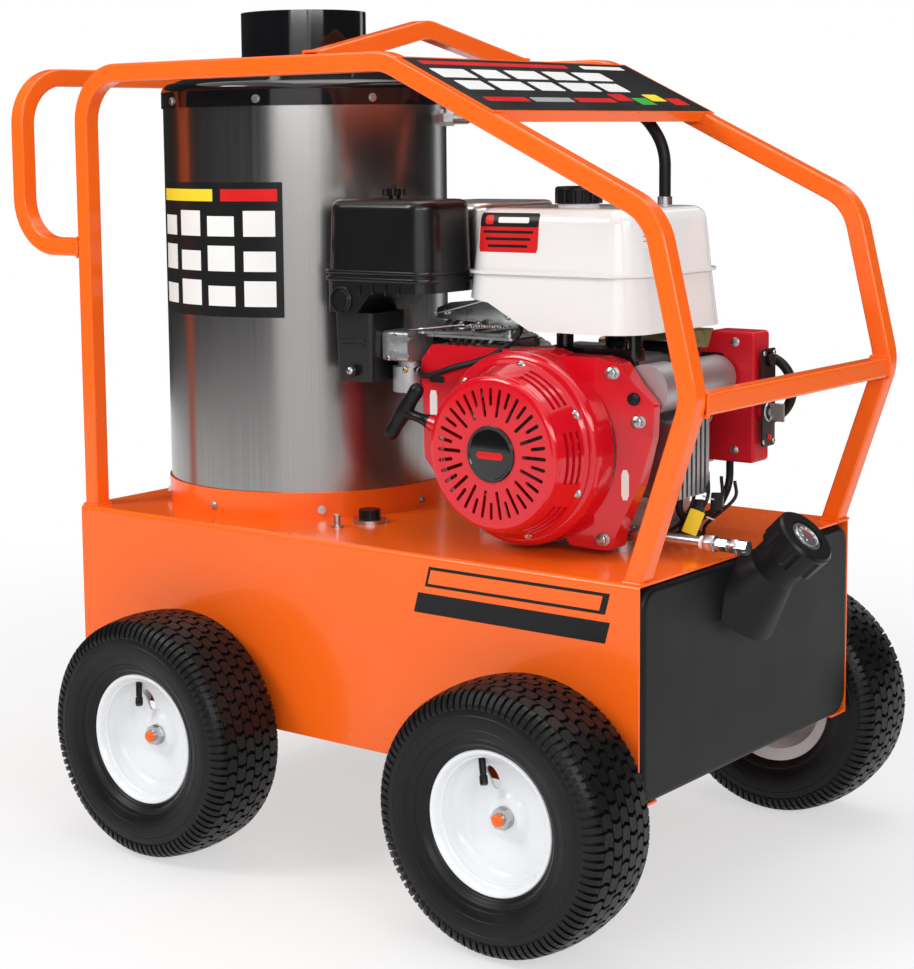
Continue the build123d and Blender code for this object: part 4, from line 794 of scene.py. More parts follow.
low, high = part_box("cage_near")
post_x = low.x + tube / 2
foot_x = deck_high.x - 13.4 * MM
handle_low, handle_high, _ = station("rear_handle")
arm_z = handle_low.z + tube / 2
bar_low, bar_high, _ = station("cage_cross_members")
elbow = Vector((bar_high.x - tube / 2, 0, bar_low.z + tube / 2))
arch_x = bar_low.x + tube / 2
inner_y = cage_y - tube / 2
welds = []
for side in (-1, 1):
    y = side * cage_y
    welds.append(weld_ring("weld", (post_x, y, deck_z + 0.6 * MM), (1, 0, 0), (0, 0, 1)))
    welds.append(weld_ring("weld", (foot_x + 1.5 * MM, y, deck_z + 0.6 * MM), (1, 0, 0), (0, 0, 1), tube + 1 * MM))
    welds.append(weld_ring("weld", (low.x - 0.4 * MM, y, arm_z), (0, 1, 0), (-1, 0, 0)))
    welds.append(weld_ring("weld", (elbow.x, side * (inner_y - 0.5 * MM), elbow.z), (1, 0, 0), (0, -side, 0)))
    welds.append(weld_ring("weld", (arch_x, side * (inner_y - 0.5 * MM), 1071 * MM), (1, 0, 0), (0, -side, 0)))
mount(join("cage_welds", *welds), "machine", "orange_paint")


# ------------------------------------------------------------------ graphics, all without words
panel_low, panel_high, _ = station("sign_panel")
panel_len = 164 * MM
panel_w = panel_high.y - panel_low.y


def on_panel(along, across):
    """A place on the sloping panel, from its upper edge down and from its middle."""
    slope_dir = Vector((cos(slope), 0, -sin(slope)))
    slope_up = Vector((sin(slope), 0, cos(slope)))
    start_x = panel_high.x - panel_len * cos(slope)
    top = Vector((start_x, 0, panel_high.z))
    return turned((0, 1, 0), slope_up, top + slope_dir * along + Vector((0, across, 0)))


def panel_block(width, height, along, across, lift, finish, corner=2 * MM):
    return prism("block", rounded(width, height, corner), -0.6 * MM, lift, finish, matrix=on_panel(along, across))


sign = [panel_block(panel_w - 8 * MM, panel_len - 8 * MM, panel_len / 2, 0, 0.25 * MM, plain_black)]
sign.append(panel_block(0.62 * panel_w, 11 * MM, 18 * MM, -0.14 * panel_w, 0.45 * MM, plain_red))
sign.append(panel_block(0.2 * panel_w, 11 * MM, 18 * MM, 0.34 * panel_w, 0.45 * MM, plain_white))
for row, along in enumerate((50, 86)):
    for column in range(5):
        wide = 0.105 * panel_w if (row + column) % 2 else 0.135 * panel_w
        sign.append(panel_block(wide, 27 * MM, along * MM, (column - 2.6) * 0.15 * panel_w, 0.45 * MM, plain_white))
for column, colour in enumerate((plain_red, plain_green, plain_yellow, plain_red)):
    sign.append(panel_block(0.07 * panel_w, 22 * MM, (118 + 12 * (column % 2)) * MM,
                            (0.16 + 0.082 * column) * panel_w, 0.45 * MM, colour))
for column in range(3):
    sign.append(panel_block(0.17 * panel_w, 13 * MM, 128 * MM, (-0.36 + 0.19 * column) * panel_w, 0.45 * MM,
                            plain_grey if column == 1 else plain_red))
mount(join("sign_graphic", *sign), "machine", "black_gloss")

stripes = []
bar = 26 * MM
for start, length, z, finish in ((168, 270, 0.421, plain_black), (150, 288, 0.386, plain_black)):
    outline = [(0, -bar / 2), (length * MM, -bar / 2), (length * MM + 7 * MM, bar / 2), (7 * MM, bar / 2)]
    stripes.append(prism("bar", outline, -0.4 * MM, 0.35 * MM, finish, matrix=towards_operator(start * MM, side_y, z)))
inner = [(5 * MM, -bar / 2 + 4 * MM), (262 * MM, -bar / 2 + 4 * MM), (267 * MM, bar / 2 - 4 * MM), (10 * MM, bar / 2 - 4 * MM)]
stripes.append(prism("bar", inner, 0, 0.5 * MM, orange, matrix=towards_operator(168 * MM, side_y, 0.421)))
mount(join("side_stripes", *stripes), "machine", "orange_paint")


def round_boiler(name, start, end, low_z, high_z, lift, finish):
    """A thin sheet bent round the shell between two bearings, in degrees from -Y towards +X."""
    steps = max(2, int(abs(end - start) / 2.5))
    vertices, faces = [], []
    for step in range(steps + 1):
        turn = radians(start + (end - start) * step / steps)
        for r in (boiler_r - 0.6 * MM, boiler_r + lift):
            for z in (low_z, high_z):
                vertices.append((boiler_x + r * sin(turn), -r * cos(turn), z))
    for step in range(steps):
        a, b = 4 * step, 4 * step + 4
        faces += [(a, a + 1, b + 1, b), (a + 2, b + 2, b + 3, a + 3), (a, b, b + 2, a + 2),
                  (a + 1, a + 3, b + 3, b + 1)]
    faces += [(0, 2, 3, 1), (4 * steps, 4 * steps + 1, 4 * steps + 3, 4 * steps + 2)]
    return shape(name, vertices, faces, finish)


placard_z = 0.728
placard_h = 0.186
placard = [round_boiler("sheet", -38, 32, placard_z, placard_z + placard_h, 0.5 * MM, plain_black)]
placard.append(round_boiler("block", -36, 2, placard_z + 0.86 * placard_h, placard_z + 0.95 * placard_h, 0.8 * MM, plain_yellow))
placard.append(round_boiler("block", 6, 30, placard_z + 0.86 * placard_h, placard_z + 0.95 * placard_h, 0.8 * MM, plain_red))
for row in range(3):
    base = placard_z + (0.08 + 0.26 * row) * placard_h
    for column in range(4):
        start = -35 + 17 * column
        tall = 0.19 * placard_h if (row + column) % 2 else 0.15 * placard_h
        placard.append(round_boiler("block", start, start + 13, base, base + tall, 0.8 * MM, plain_white))
mount(join("boiler_placard", *placard), "machine", "black_gloss")

# lengthwise seam of the shell, on the side turned from the operator
seam = round_boiler("boiler_seam", 168, 176, shell_low.z + 37 * MM, shell_high.z, 1.4 * MM, stainless)
mount(seam, "machine", "stainless")


# ------------------------------------------------------------------ recoil starter
badge_r = 36 * MM
badge = lathe("badge", [(1e-5, 2.4), (28, 2.4), (31, 2.0), (32, 3.0), (34.5, 3.0), (35.6, 2.0), (36, 0), (1e-5, 0)],
              black_gloss, 72, angle=30)
place(badge, Matrix.Scale(MM, 4))
inlay = prism("inlay", [(x * MM, y * MM) for x, y in rounded(40, 9, 4)], 2.3 * MM, 2.8 * MM, plain_red, bevel=0.2 * MM)
place(inlay, Matrix.Translation((0, -2 * MM, 0)))
badge = place(join("recoil_badge", badge, inlay), towards_operator(crank_x, recoil_front, crank_z))
mount(badge, "machine", "black_plastic")

flange_bolts = []
for bearing in (8, 62, 115, 167, 228, 318):
    turn = radians(bearing)
    spot = Vector((crank_x + 108 * MM * sin(turn), recoil_front + 44.4 * MM, crank_z + 108 * MM * cos(turn)))
    flange_bolts.append(hex_bolt("bolt", 4.6 * MM, 4.0 * MM, towards_operator(*spot)))
mount(join("recoil_bolts", *flange_bolts), "machine", "zinc")

guide_turn = radians(166.6)
guide_dir = Vector((cos(guide_turn), 0, sin(guide_turn)))
grip_low, grip_high, _ = station("recoil_grip")
guide_y = (grip_low.y + grip_high.y) / 2
bar_at = Vector((crank_x, guide_y, crank_z)) + guide_dir * 165.3 * MM
bar_turn = radians(54)
bar_dir = Vector((cos(bar_turn), 0, sin(bar_turn)))
grip_profile = [(0.05, -45.5), (4.5, -44.8), (8.6, -41), (10.2, -34), (9.6, -22), (10.6, -10), (11.4, 0),
                (10.6, 10), (9.6, 22), (10.2, 34), (8.6, 41), (4.5, 44.8), (0.05, 45.5)]
handle = lathe("handle", [(r * MM, h * MM) for r, h in curve_through(grip_profile, 4)], black_plastic, 32)
place(handle, Matrix.Diagonal((0.88, 1.0, 1.0, 1.0)))
place(handle, turned((0, 1, 0), bar_dir, bar_at))
neck_profile = [(8.8, 0.5), (9.4, 1.5), (9.2, 6), (7.0, 16), (6.6, 30), (9.0, 43), (0.05, 47)]
neck = lathe("neck", [(0.05 * MM, 0.4 * MM)] + [(r * MM, h * MM) for r, h in curve_through(neck_profile, 4)], black_plastic, 32)
place(neck, turned((0, 1, 0), guide_dir, Vector((crank_x, guide_y, crank_z)) + guide_dir * 119.0 * MM))
mount(join("recoil_handle", handle, neck), "recoil_grip_body", "black_plastic", "recoil_grip")

bush_profile = [(3.6, 0), (8.5, 0), (9.6, 1), (9.6, 3), (6.0, 4.3), (4.0, 4.6), (3.6, 4.2)]
bush = lathe("rope_bush", [(r * MM, (h - 4.8) * MM) for r, h in bush_profile], black_plastic, 32, closed=True)
place(bush, turned((0, 1, 0), guide_dir, Vector((crank_x, guide_y, crank_z)) + guide_dir * 119.1 * MM))
mount(bush, "machine", "black_plastic")

rope_start = Vector((crank_x, guide_y, crank_z)) + guide_dir * 104 * MM
rope_end = Vector((crank_x, guide_y, crank_z)) + guide_dir * 150 * MM
rope_points = [rope_start.lerp(rope_end, k / 24) for k in range(25)]
rope_sides = 8
rope_rings = []
for k, point in enumerate(rope_points):
    for n in range(rope_sides):
        turn = 2 * pi * n / rope_sides
        rope_rings.append(point + 2.3 * MM * (cos(turn) * Vector((0, 1, 0)) + sin(turn) * guide_dir.cross(Vector((0, 1, 0)))))
rope_faces = [tuple(range(rope_sides)), tuple(range(len(rope_rings) - rope_sides, len(rope_rings)))]
for k in range(24):
    for n in range(rope_sides):
        a, b = k * rope_sides + n, k * rope_sides + (n + 1) % rope_sides
        rope_faces.append((a, b, b + rope_sides, a + rope_sides))
rope = shape("recoil_rope", rope_rings, rope_faces, plain_grey)
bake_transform(rope)

def touch(node, start, aim):
    """Where a line first meets a CAD node, and the surface's normal there."""
    start, aim = Vector(start), Vector(aim).normalized()
    hit, spot, normal, _ = nodes[node].ray_cast(start, aim)
    if not hit:
        _, spot, normal, _ = nodes[node].closest_point_on_mesh(start)
    if normal.dot(aim) > 0:
        normal = -normal
    return spot, normal


def laid(name, node, matrix, width, height, finish, lift=0.4 * MM, corner=2.5 * MM, steps=10):
    """A thin label laid on a CAD node along the matrix's -z, following its surface."""
    centre = matrix.to_translation()
    aim = -(matrix.to_3x3() @ Vector((0, 0, 1)))
    bevel = corner / height
    over, under = [], []
    for row in range(steps + 1):
        v = row / steps - 0.5
        edge = max(0.0, abs(v) - 0.5 + bevel) / bevel
        trim = corner * (1 - sqrt(max(0.0, 1 - edge * edge)))
        for column in range(steps + 1):
            u = (column / steps - 0.5) * (width - 2 * trim)
            start = matrix @ Vector((u, v * height, 30 * MM))
            spot, normal = touch(node, start, aim)
            over.append(spot + normal * lift)
            under.append(spot - normal * 0.5 * MM)
    n = steps + 1
    faces = []
    for row in range(steps):
        for column in range(steps):
            a = row * n + column
            faces.append((a, a + 1, a + n + 1, a + n))
            faces.append((n * n + a, n * n + a + n, n * n + a + n + 1, n * n + a + 1))
    rim = [(k, k + 1) for k in range(steps)]
    rim += [(k * n + steps, (k + 1) * n + steps) for k in range(steps)]
    rim += [(steps * n + k + 1, steps * n + k) for k in reversed(range(steps))]
    rim += [((k + 1) * n, k * n) for k in reversed(range(steps))]
    faces += [(b, a, n * n + a, n * n + b) for a, b in rim]
    return shape(name, over + under, faces, finish)


def rod(name, points, radius, finish, turns=3):
    """Rod or cable that passes through its points with smooth bends."""
    return wire(name, curve_through([Vector(p) * MM for p in points], turns), radius * MM, finish, 3)


def ring(name, radius, thick, matrix, finish, steps=32):
    """Round-section ring about the matrix's z."""
    outline = [(radius + thick * cos(2 * pi * k / 8), thick * sin(2 * pi * k / 8)) for k in range(8)]
    return lathe(name, outline, finish, steps, closed=True, matrix=matrix)


# ------------------------------------------------------------------ axle ends
axle_low, axle_high, _ = station("axles")
caps = []
for place_name in ("front", "rear"):
    for flank, side in (("near", -1), ("far", 1)):
        low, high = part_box(f"tyre_{place_name}_{flank}")
        centre = (low + high) / 2
        end_y = axle_high.y if side > 0 else axle_low.y
        caps.append(place(make_axle_cap("cap"), turned(
            (1, 0, 0), (0, side, 0), (centre.x, end_y - side * 1.5 * MM, centre.z))))
mount(join("axle_caps", *caps), "machine", "orange_paint")

# ------------------------------------------------------------------ engine tank labels
tank_low, tank_high, tank_mid = station("engine_tank")
label_at = Vector((tank_low.x + 76 * MM, tank_low.y, tank_high.z - 45 * MM))
tank_label = [laid("label", "engine_tank", towards_operator(*label_at), 94 * MM, 50 * MM, plain_red),
              laid("label", "engine_tank", towards_operator(label_at.x, label_at.y, label_at.z + 16 * MM),
                   93 * MM, 17 * MM, plain_black, 0.8 * MM),
              laid("label", "engine_tank", towards_operator(label_at.x - 30 * MM, label_at.y, label_at.z + 16 * MM),
                   13 * MM, 11 * MM, plain_red, 1.1 * MM, 1.5 * MM, 4),
              laid("label", "engine_tank", towards_operator(label_at.x + 8 * MM, label_at.y, label_at.z + 16 * MM),
                   48 * MM, 7 * MM, plain_white, 1.1 * MM, 1.5 * MM, 6)]
for row in range(3):
    tank_label.append(laid("label", "engine_tank", towards_operator(
        label_at.x, label_at.y, label_at.z + (1 - 9 * row) * MM), (78 - 8 * row) * MM, 3.4 * MM, plain_black,
        0.8 * MM, 1 * MM, 6))
side_at = Vector((tank_high.x, tank_low.y + 62 * MM, tank_high.z - 42 * MM))
tank_label.append(laid("label", "engine_tank", towards_tank(*side_at), 40 * MM, 42 * MM, plain_white))
tank_label.append(laid("label", "engine_tank", towards_tank(side_at.x, side_at.y, side_at.z + 15 * MM),
                       38 * MM, 8 * MM, orange, 0.8 * MM, 1 * MM))
for row in range(4):
    tank_label.append(laid("label", "engine_tank", towards_tank(
        side_at.x, side_at.y, side_at.z + (6 - 6 * row) * MM), 32 * MM, 1.6 * MM, plain_grey, 0.8 * MM, 0.6 * MM, 4))
mount(join("tank_labels", *tank_label), "machine", "white_gloss")

# ------------------------------------------------------------------ shroud trim
shroud_low, shroud_high, _ = station("fan_shroud")
spot, normal = touch("fan_shroud", (crank_x + 143 * MM, -0.4, crank_z + 68 * MM), (0, 1, 0))
plug_profile = [(1e-5, 3.6), (5.0, 3.4), (7.4, 2.4), (8.2, 0.8), (8.2, -1.0)]
plug = lathe("plug", [(r * MM, h * MM) for r, h in plug_profile], black_plastic, 28,
             matrix=turned((1, 0, 0), normal, spot))
trim = [plug]
for x, z, wide, tall, finish in ((-156, 40, 12, 42, plain_white), (-150, 76, 24, 9, plain_black),
                                 (133, -40, 9, 38, plain_white)):
    at = (crank_x + x * MM, shroud_low.y, crank_z + z * MM)
    probe, _ = touch("fan_shroud", (at[0], -0.4, at[2]), (0, 1, 0))
    trim.append(laid("label", "fan_shroud", towards_operator(at[0], probe.y, at[2]),
                     wide * MM, tall * MM, finish, 0.5 * MM, 2 * MM, 6))
mount(join("shroud_trim", *trim), "machine", "black_plastic")

# ------------------------------------------------------------------ air cleaner
cover_low, cover_high, cover_mid = station("air_cleaner_cover")
base_low, base_high, base_mid = station("air_cleaner_base")


def cleaner_band(low_z, high_z, proud, radius=26 * MM):
    outline = rounded(cover_high.x - cover_low.x + 2 * proud, cover_high.y - cover_low.y + 2 * proud, radius, 8)
    inner = rounded(cover_high.x - cover_low.x - 8 * MM, cover_high.y - cover_low.y - 8 * MM, radius - 5 * MM, 8)
    count = len(outline)
    vertices = []
    for line, z in ((outline, low_z), (outline, high_z), (inner, high_z), (inner, low_z)):
        vertices += [(cover_mid.x + x, cover_mid.y + y, z) for x, y in line]
    faces = []
    for band in range(4):
        for k in range(count):
            a, b = band * count + k, band * count + (k + 1) % count
            c, d = (band + 1) % 4 * count + (k + 1) % count, (band + 1) % 4 * count + k
            faces.append((a, b, c, d))
    made = shape("band", vertices, faces, cleaner_black)
    rounding = made.modifiers.new("edge", "BEVEL")
    rounding.width = 1.1 * MM
    rounding.segments = 2
    rounding.limit_method = "ANGLE"
    rounding.angle_limit = radians(40)
    return tidy(settle(made), True, 50)


seam = cover_low.z
boss = lathe("boss", [(r * MM, h * MM) for r, h in (
    (1e-5, 2.2), (12.0, 2.2), (13.0, 1.4), (14.4, 1.4), (15.2, 3.4), (17.0, 3.4), (18.0, 2.4), (18.0, -3.0))],
    cleaner_black, 48, matrix=towards_operator(base_low.x + 40 * MM, touch(
        "air_cleaner_base", (base_low.x + 40 * MM, -0.4, seam - 34 * MM), (0, 1, 0))[0].y, seam - 34 * MM))
cleaner = [cleaner_band(seam - 9 * MM, seam - 3.2 * MM, 1.8 * MM), boss]
for step in range(5):
    x = base_low.x + (72 + 22 * step) * MM
    probe, _ = touch("air_cleaner_base", (x, -0.4, seam - 14 * MM), (0, 1, 0))
    cleaner.append(plate("rib", 2.6 * MM, 15 * MM, 3.2 * MM, towards_operator(x, probe.y + 1 * MM, seam - 18 * MM),
                         cleaner_black, 1.2 * MM, 0.5 * MM))
mount(join("cleaner_trim", *cleaner), "machine", "black_plastic")
lip = cleaner_band(seam + 0.6 * MM, seam + 6.0 * MM, 1.6 * MM)
mount(lip, "cleaner_cover_body", "black_plastic")

# ------------------------------------------------------------------ carburettor linkage
carb_low, carb_high, carb_mid = station("carburettor")
plate_low, plate_high, _ = station("control_plate")
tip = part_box("throttle_lever")
lever_z = plate_high.z + 4 * MM
governor_x, governor_y = carb_high.x + 70 * MM, carb_low.y + 30 * MM
linkage = [
    coil_spring("spring", (governor_x, governor_y, lever_z), (governor_x + 62 * MM, governor_y + 6 * MM, lever_z + 1 * MM),
                3.2 * MM, 12, 0.6 * MM),
    rod("rod", [((carb_high.x + 2 * MM) / MM, carb_low.y / MM - 3, carb_high.z / MM + 4),
                (carb_high.x / MM + 30, carb_low.y / MM - 5, carb_high.z / MM + 7),
                (governor_x / MM - 2, governor_y / MM - 2, lever_z / MM + 2)], 1.0, zinc),
    plate("arm", 11 * MM, 46 * MM, 2.2 * MM, turned((1, 0, 0.15), (0, 0, 1), (governor_x, governor_y + 8 * MM, lever_z - 3 * MM)),
          zinc, 5 * MM),
    hex_bolt("pivot", 4.5 * MM, 5 * MM, upright(governor_x, governor_y + 26 * MM, lever_z - 1 * MM)),
    lathe("stop_screw", [(1e-5, 13 * MM), (2.6 * MM, 13 * MM), (3.4 * MM, 12 * MM), (3.4 * MM, 9 * MM), (1.9 * MM, 9 * MM),
                         (1.9 * MM, -4 * MM)], brass, 16,
          matrix=turned((0, 1, 0), (-0.9, -0.4, 0.2), (carb_low.x + 8 * MM, carb_low.y + 10 * MM, carb_high.z - 6 * MM))),
    pan_screw("carb_screw", 4.2 * MM, towards_operator(carb_low.x + 10 * MM, carb_low.y, carb_mid.z + 8 * MM), steel),
    pan_screw("carb_screw", 4.2 * MM, towards_operator(carb_high.x - 9 * MM, carb_low.y, carb_mid.z - 6 * MM), brass),
]
mount(join("carburettor_linkage", *linkage), "machine", "zinc")

fuel_line = [rod("line", [(carb_high.x / MM + 1, carb_low.y / MM + 12, carb_mid.z / MM - 6),
                          (carb_high.x / MM + 26, carb_low.y / MM + 2, carb_mid.z / MM - 12),
                          (carb_high.x / MM + 72, carb_low.y / MM + 4, carb_mid.z / MM + 2),
                          (carb_high.x / MM + 118, carb_low.y / MM + 14, carb_mid.z / MM + 16),
                          (carb_high.x / MM + 146, carb_low.y / MM + 30, carb_mid.z / MM + 40),
                          (carb_high.x / MM + 150, carb_low.y / MM + 44, tank_low.z / MM + 8)], 4.2, hose, 6)]
for at in (0.06, 0.94):
    fuel_line.append(ring("clamp", 4.8 * MM, 0.8 * MM, turned(
        (0, 0, 1), (1, 0, 0.0) if at < 0.5 else (0.05, 0.1, 1),
        (carb_high.x + 7 * MM, carb_low.y + 9 * MM, carb_mid.z - 8 * MM) if at < 0.5 else
        (carb_high.x + 150 * MM, carb_low.y + 43 * MM, tank_low.z + 1 * MM)), zinc))
mount(join("fuel_line", *fuel_line), "machine", "hose_rubber")

# ------------------------------------------------------------------ spark plug and lead
head_low, head_high, head_mid = station("cylinder_head")
plug_at = Vector((head_low.x + 30 * MM, head_low.y + 6 * MM, head_mid.z + 10 * MM))
boot_dir = Vector((-0.35, -0.85, 0.35)).normalized()
spot, _ = touch("cylinder_head", plug_at + Vector((0, -0.2, 0)), (0, 1, 0))
boot_profile = [(1e-5, 34), (8.0, 34), (9.4, 31), (9.6, 18), (8.2, 14), (8.4, 2), (7.6, -2), (1e-5, -2)]
boot = lathe("boot", [(r * MM, h * MM) for r, h in boot_profile], hose, 24, matrix=turned((1, 0, 0), boot_dir, spot))
lead_start = (spot + boot_dir * 32 * MM) / MM
lead = rod("lead", [lead_start, lead_start + Vector((4, -14, 14)), lead_start + Vector((40, -16, 20)),
                    lead_start + Vector((96, 4, 4)), Vector((crank_x / MM - 60, -70, crank_z / MM + 122))], 3.3, hose, 6)
mount(join("spark_lead", boot, lead), "machine", "hose_rubber")

# ------------------------------------------------------------------ control box
box_low, box_high, box_mid = station("control_box")
key_low, key_high, key_mid = station("ignition_key")
panel = [
    plate("face", 34 * MM, 128 * MM, 2.4 * MM, towards_tank(box_high.x, box_mid.y, box_mid.z), plain_black, 4 * MM, 0.8 * MM),
    ring("key_ring", 11.5 * MM, 1.6 * MM, towards_tank(box_high.x + 2.6 * MM, key_mid.y, key_mid.z), zinc),
    lathe("button", [(1e-5, 5 * MM), (6.2 * MM, 5 * MM), (7.2 * MM, 4 * MM), (7.4 * MM, 0), (9.5 * MM, 0), (9.5 * MM, -1 * MM)],
          black_plastic, 28, matrix=towards_tank(box_high.x + 2.4 * MM, box_mid.y, box_high.z - 36 * MM)),
    lathe("lamp", [(1e-5, 3.4 * MM), (3.2 * MM, 2.8 * MM), (4.6 * MM, 0.6 * MM), (4.6 * MM, -1 * MM)],
          plain_red, 20, matrix=towards_tank(box_high.x + 2.4 * MM, box_mid.y, box_low.z + 34 * MM)),
    laid("label", "control_box", towards_operator(box_mid.x - 14 * MM, box_low.y, box_high.z - 40 * MM), 34 * MM, 22 * MM,
         plain_black),
]
for dy, dz in ((-13, 58), (13, 58), (-13, -58), (13, -58)):
    panel.append(pan_screw("screw", 3.2 * MM, towards_tank(box_high.x + 2.2 * MM, box_mid.y + dy * MM, box_mid.z + dz * MM)))
for z in (box_low.z + 16 * MM, box_high.z - 14 * MM):
    panel.append(hex_bolt("bolt", 4.2 * MM, 3.4 * MM, towards_operator(box_mid.x + 20 * MM, box_low.y, z)))
mount(join("control_panel", *panel), "machine", "black_plastic")

# ------------------------------------------------------------------ wiring between the engine and the deck
loom_x, loom_y = deck_high.x - 70 * MM, 10 * MM
loom = [rod("wire", [(loom_x / MM + 14 * k, loom_y / MM + 10 * k, deck_z / MM + 92 - 6 * k),
                     (loom_x / MM + 8 + 12 * k, loom_y / MM - 16 + 14 * k, deck_z / MM + 58),
                     (loom_x / MM - 14 + 9 * k, loom_y / MM - 26 + 8 * k, deck_z / MM + 26),
                     (loom_x / MM - 44 + 16 * k, loom_y / MM - 6 + 9 * k, deck_z / MM + 7),
                     (loom_x / MM - 62 + 10 * k, loom_y / MM + 30 + 9 * k, deck_z / MM + 3)], 2.3, finish, 5)
        for k, finish in ((0, plain_black), (1, hose), (2, hose), (-1, plain_black))]
for k, (dx, dy, dz) in enumerate(((-2, -18, 46), (14, 2, 52), (-18, -22, 24))):
    loom.append(plate("connector", 15 * MM, 24 * MM, 11 * MM, turned(
        (1, 0.4, 0), (0.3, -1, 0.25 + 0.2 * k), (loom_x + dx * MM, loom_y + dy * MM, deck_z + dz * MM)), plain_black, 2 * MM, 0.8 * MM))
loom.append(plate("tag", 20 * MM, 32 * MM, 0.7 * MM, turned(
    (1, 0.2, -0.3), (0.3, -1, 0.35), (loom_x + 6 * MM, loom_y - 46 * MM, deck_z + 34 * MM)), plain_yellow, 2 * MM, 0.2 * MM))
for dz in (60, 34):
    loom.append(ring("tie", 7.5 * MM, 1.0 * MM, turned((1, 0, 0), (0.2, 0.3, 1), (loom_x + 6 * MM, loom_y - 8 * MM, deck_z + dz * MM)),
                     plain_white))
mount(join("wiring", *loom), "machine", "hose_rubber")

# ------------------------------------------------------------------ oil drain fittings
drain_low, drain_high, drain_mid = station("drain_pipe")
drain = []
for x, radius, long in ((drain_high.x - 60 * MM, 11.5, 15), (drain_high.x - 24 * MM, 10.0, 11), (drain_low.x + 34 * MM, 12, 14)):
    nut = prism("nut", ring_outline(radius * MM, 6, 0.3), 0, long * MM, zinc, bevel=1 * MM)
    drain.append(place(nut, turned((0, 0, 1), (1, 0, 0), (x, drain_mid.y, drain_mid.z))))
for x in (drain_high.x - 66 * MM, drain_high.x - 6 * MM):
    tape = lathe("tape", [(7.6 * MM, 0), (8.3 * MM, 0.6 * MM), (8.3 * MM, 5 * MM), (7.6 * MM, 5.6 * MM)], plain_white, 24, closed=True)
    drain.append(place(tape, turned((0, 0, 1), (1, 0, 0), (x, drain_mid.y, drain_mid.z))))
mount(join("drain_fittings", *drain), "machine", "zinc")

# ------------------------------------------------------------------ screw heads on the engine


def islands(node):
    """Centre and size of each separate solid of a CAD node."""
    work = bmesh.new()
    work.from_mesh(nodes[node].data)
    bmesh.ops.remove_doubles(work, verts=work.verts, dist=1e-6)
    left = set(work.verts)
    found = []
    while left:
        reached = [left.pop()]
        for vertex in reached:
            for edge in vertex.link_edges:
                other = edge.other_vert(vertex)
                if other in left:
                    left.remove(other)
                    reached.append(other)
        corners = [[pick(v.co[axis] for v in reached) for axis in range(3)] for pick in (min, max)]
        low, high = Vector(corners[0]), Vector(corners[1])
        found.append(((low + high) / 2, low, high))
    work.free()
    return sorted(found, key=lambda item: tuple(round(value, 4) for value in item[0]))


heads = []
for centre, low, high in islands("engine_bolts"):
    size = high - low
    if size.y < size.x and centre.y < crank_z * 0 - 0.1:
        heads.append(hex_bolt("head", 5.2 * MM, 4.2 * MM, towards_operator(centre.x, low.y, centre.z)))
    elif size.z < size.x:
        heads.append(hex_bolt("head", 6.0 * MM, 5.0 * MM, upright(centre.x, centre.y, high.z)))
if heads:
    mount(join("engine_bolt_heads", *heads), "machine", "zinc")

# ------------------------------------------------------------------ fuel gauge glass in the cap
cap_low, cap_high, cap_mid = station("fuel_cap")
cap_axis = Vector((1, 0, 1)).normalized()
gauge_at = touch("fuel_gauge", cap_mid + cap_axis * 0.2, -cap_axis)[0]
glass = lathe("glass", [(r * MM, h * MM) for r, h in ((1e-5, 3.2), (7, 2.9), (12.5, 1.7), (15.5, 0.2), (15.5, -0.6))],
              gauge_glass, 40, matrix=turned((0, 1, 0), cap_axis, gauge_at))
rim_ring = ring("rim", 16.4 * MM, 1.3 * MM, turned((0, 1, 0), cap_axis, gauge_at + cap_axis * 0.6 * MM), zinc, 40)
needle = plate("needle", 2.0 * MM, 15 * MM, 0.5 * MM, turned((0, 1, 0), cap_axis, gauge_at + cap_axis * 2.9 * MM), plain_red, 0.9 * MM, 0)
marks = [plate("mark", 1.4 * MM, 4 * MM, 0.4 * MM, turned((0, 1, 0), cap_axis, gauge_at + cap_axis * 1.6 * MM)
               @ Matrix.Rotation(radians(turn), 4, "Z") @ Matrix.Translation((0, 11.5 * MM, 0.5 * MM)), plain_white, 0.6 * MM, 0)
         for turn in range(-120, 121, 40)]
mount(join("fuel_gauge_face", glass, rim_ring, needle, *marks), "fuel_cap_body", "gauge_glass")

# ------------------------------------------------------------------ intake box and control bracket
bottom = Vector((base_low.x + 52 * MM, 0, base_low.z + 15 * MM))
spot, _ = touch("air_cleaner_base", (bottom.x, -0.4, bottom.z), (0, 1, 0))
intake = [lathe("boss", [(r * MM, h * MM) for r, h in ((1e-5, 9), (7.6, 9), (8.6, 8), (9.0, 0), (9.0, -3))], cleaner_black, 32,
                matrix=towards_operator(bottom.x, spot.y, bottom.z)),
          pan_screw("screw", 5.6 * MM, towards_operator(bottom.x, spot.y - 9 * MM, bottom.z))]
for dz, wide in ((34, 40), (40, 40)):
    spot, _ = touch("air_cleaner_base", (bottom.x, -0.4, bottom.z + dz * MM), (0, 1, 0))
    intake.append(plate("rib", wide * MM, 2.4 * MM, 3 * MM, towards_operator(bottom.x, spot.y + 1 * MM, bottom.z + dz * MM),
                        cleaner_black, 1 * MM, 0.5 * MM))
mount(join("intake_trim", *intake), "machine", "black_plastic")

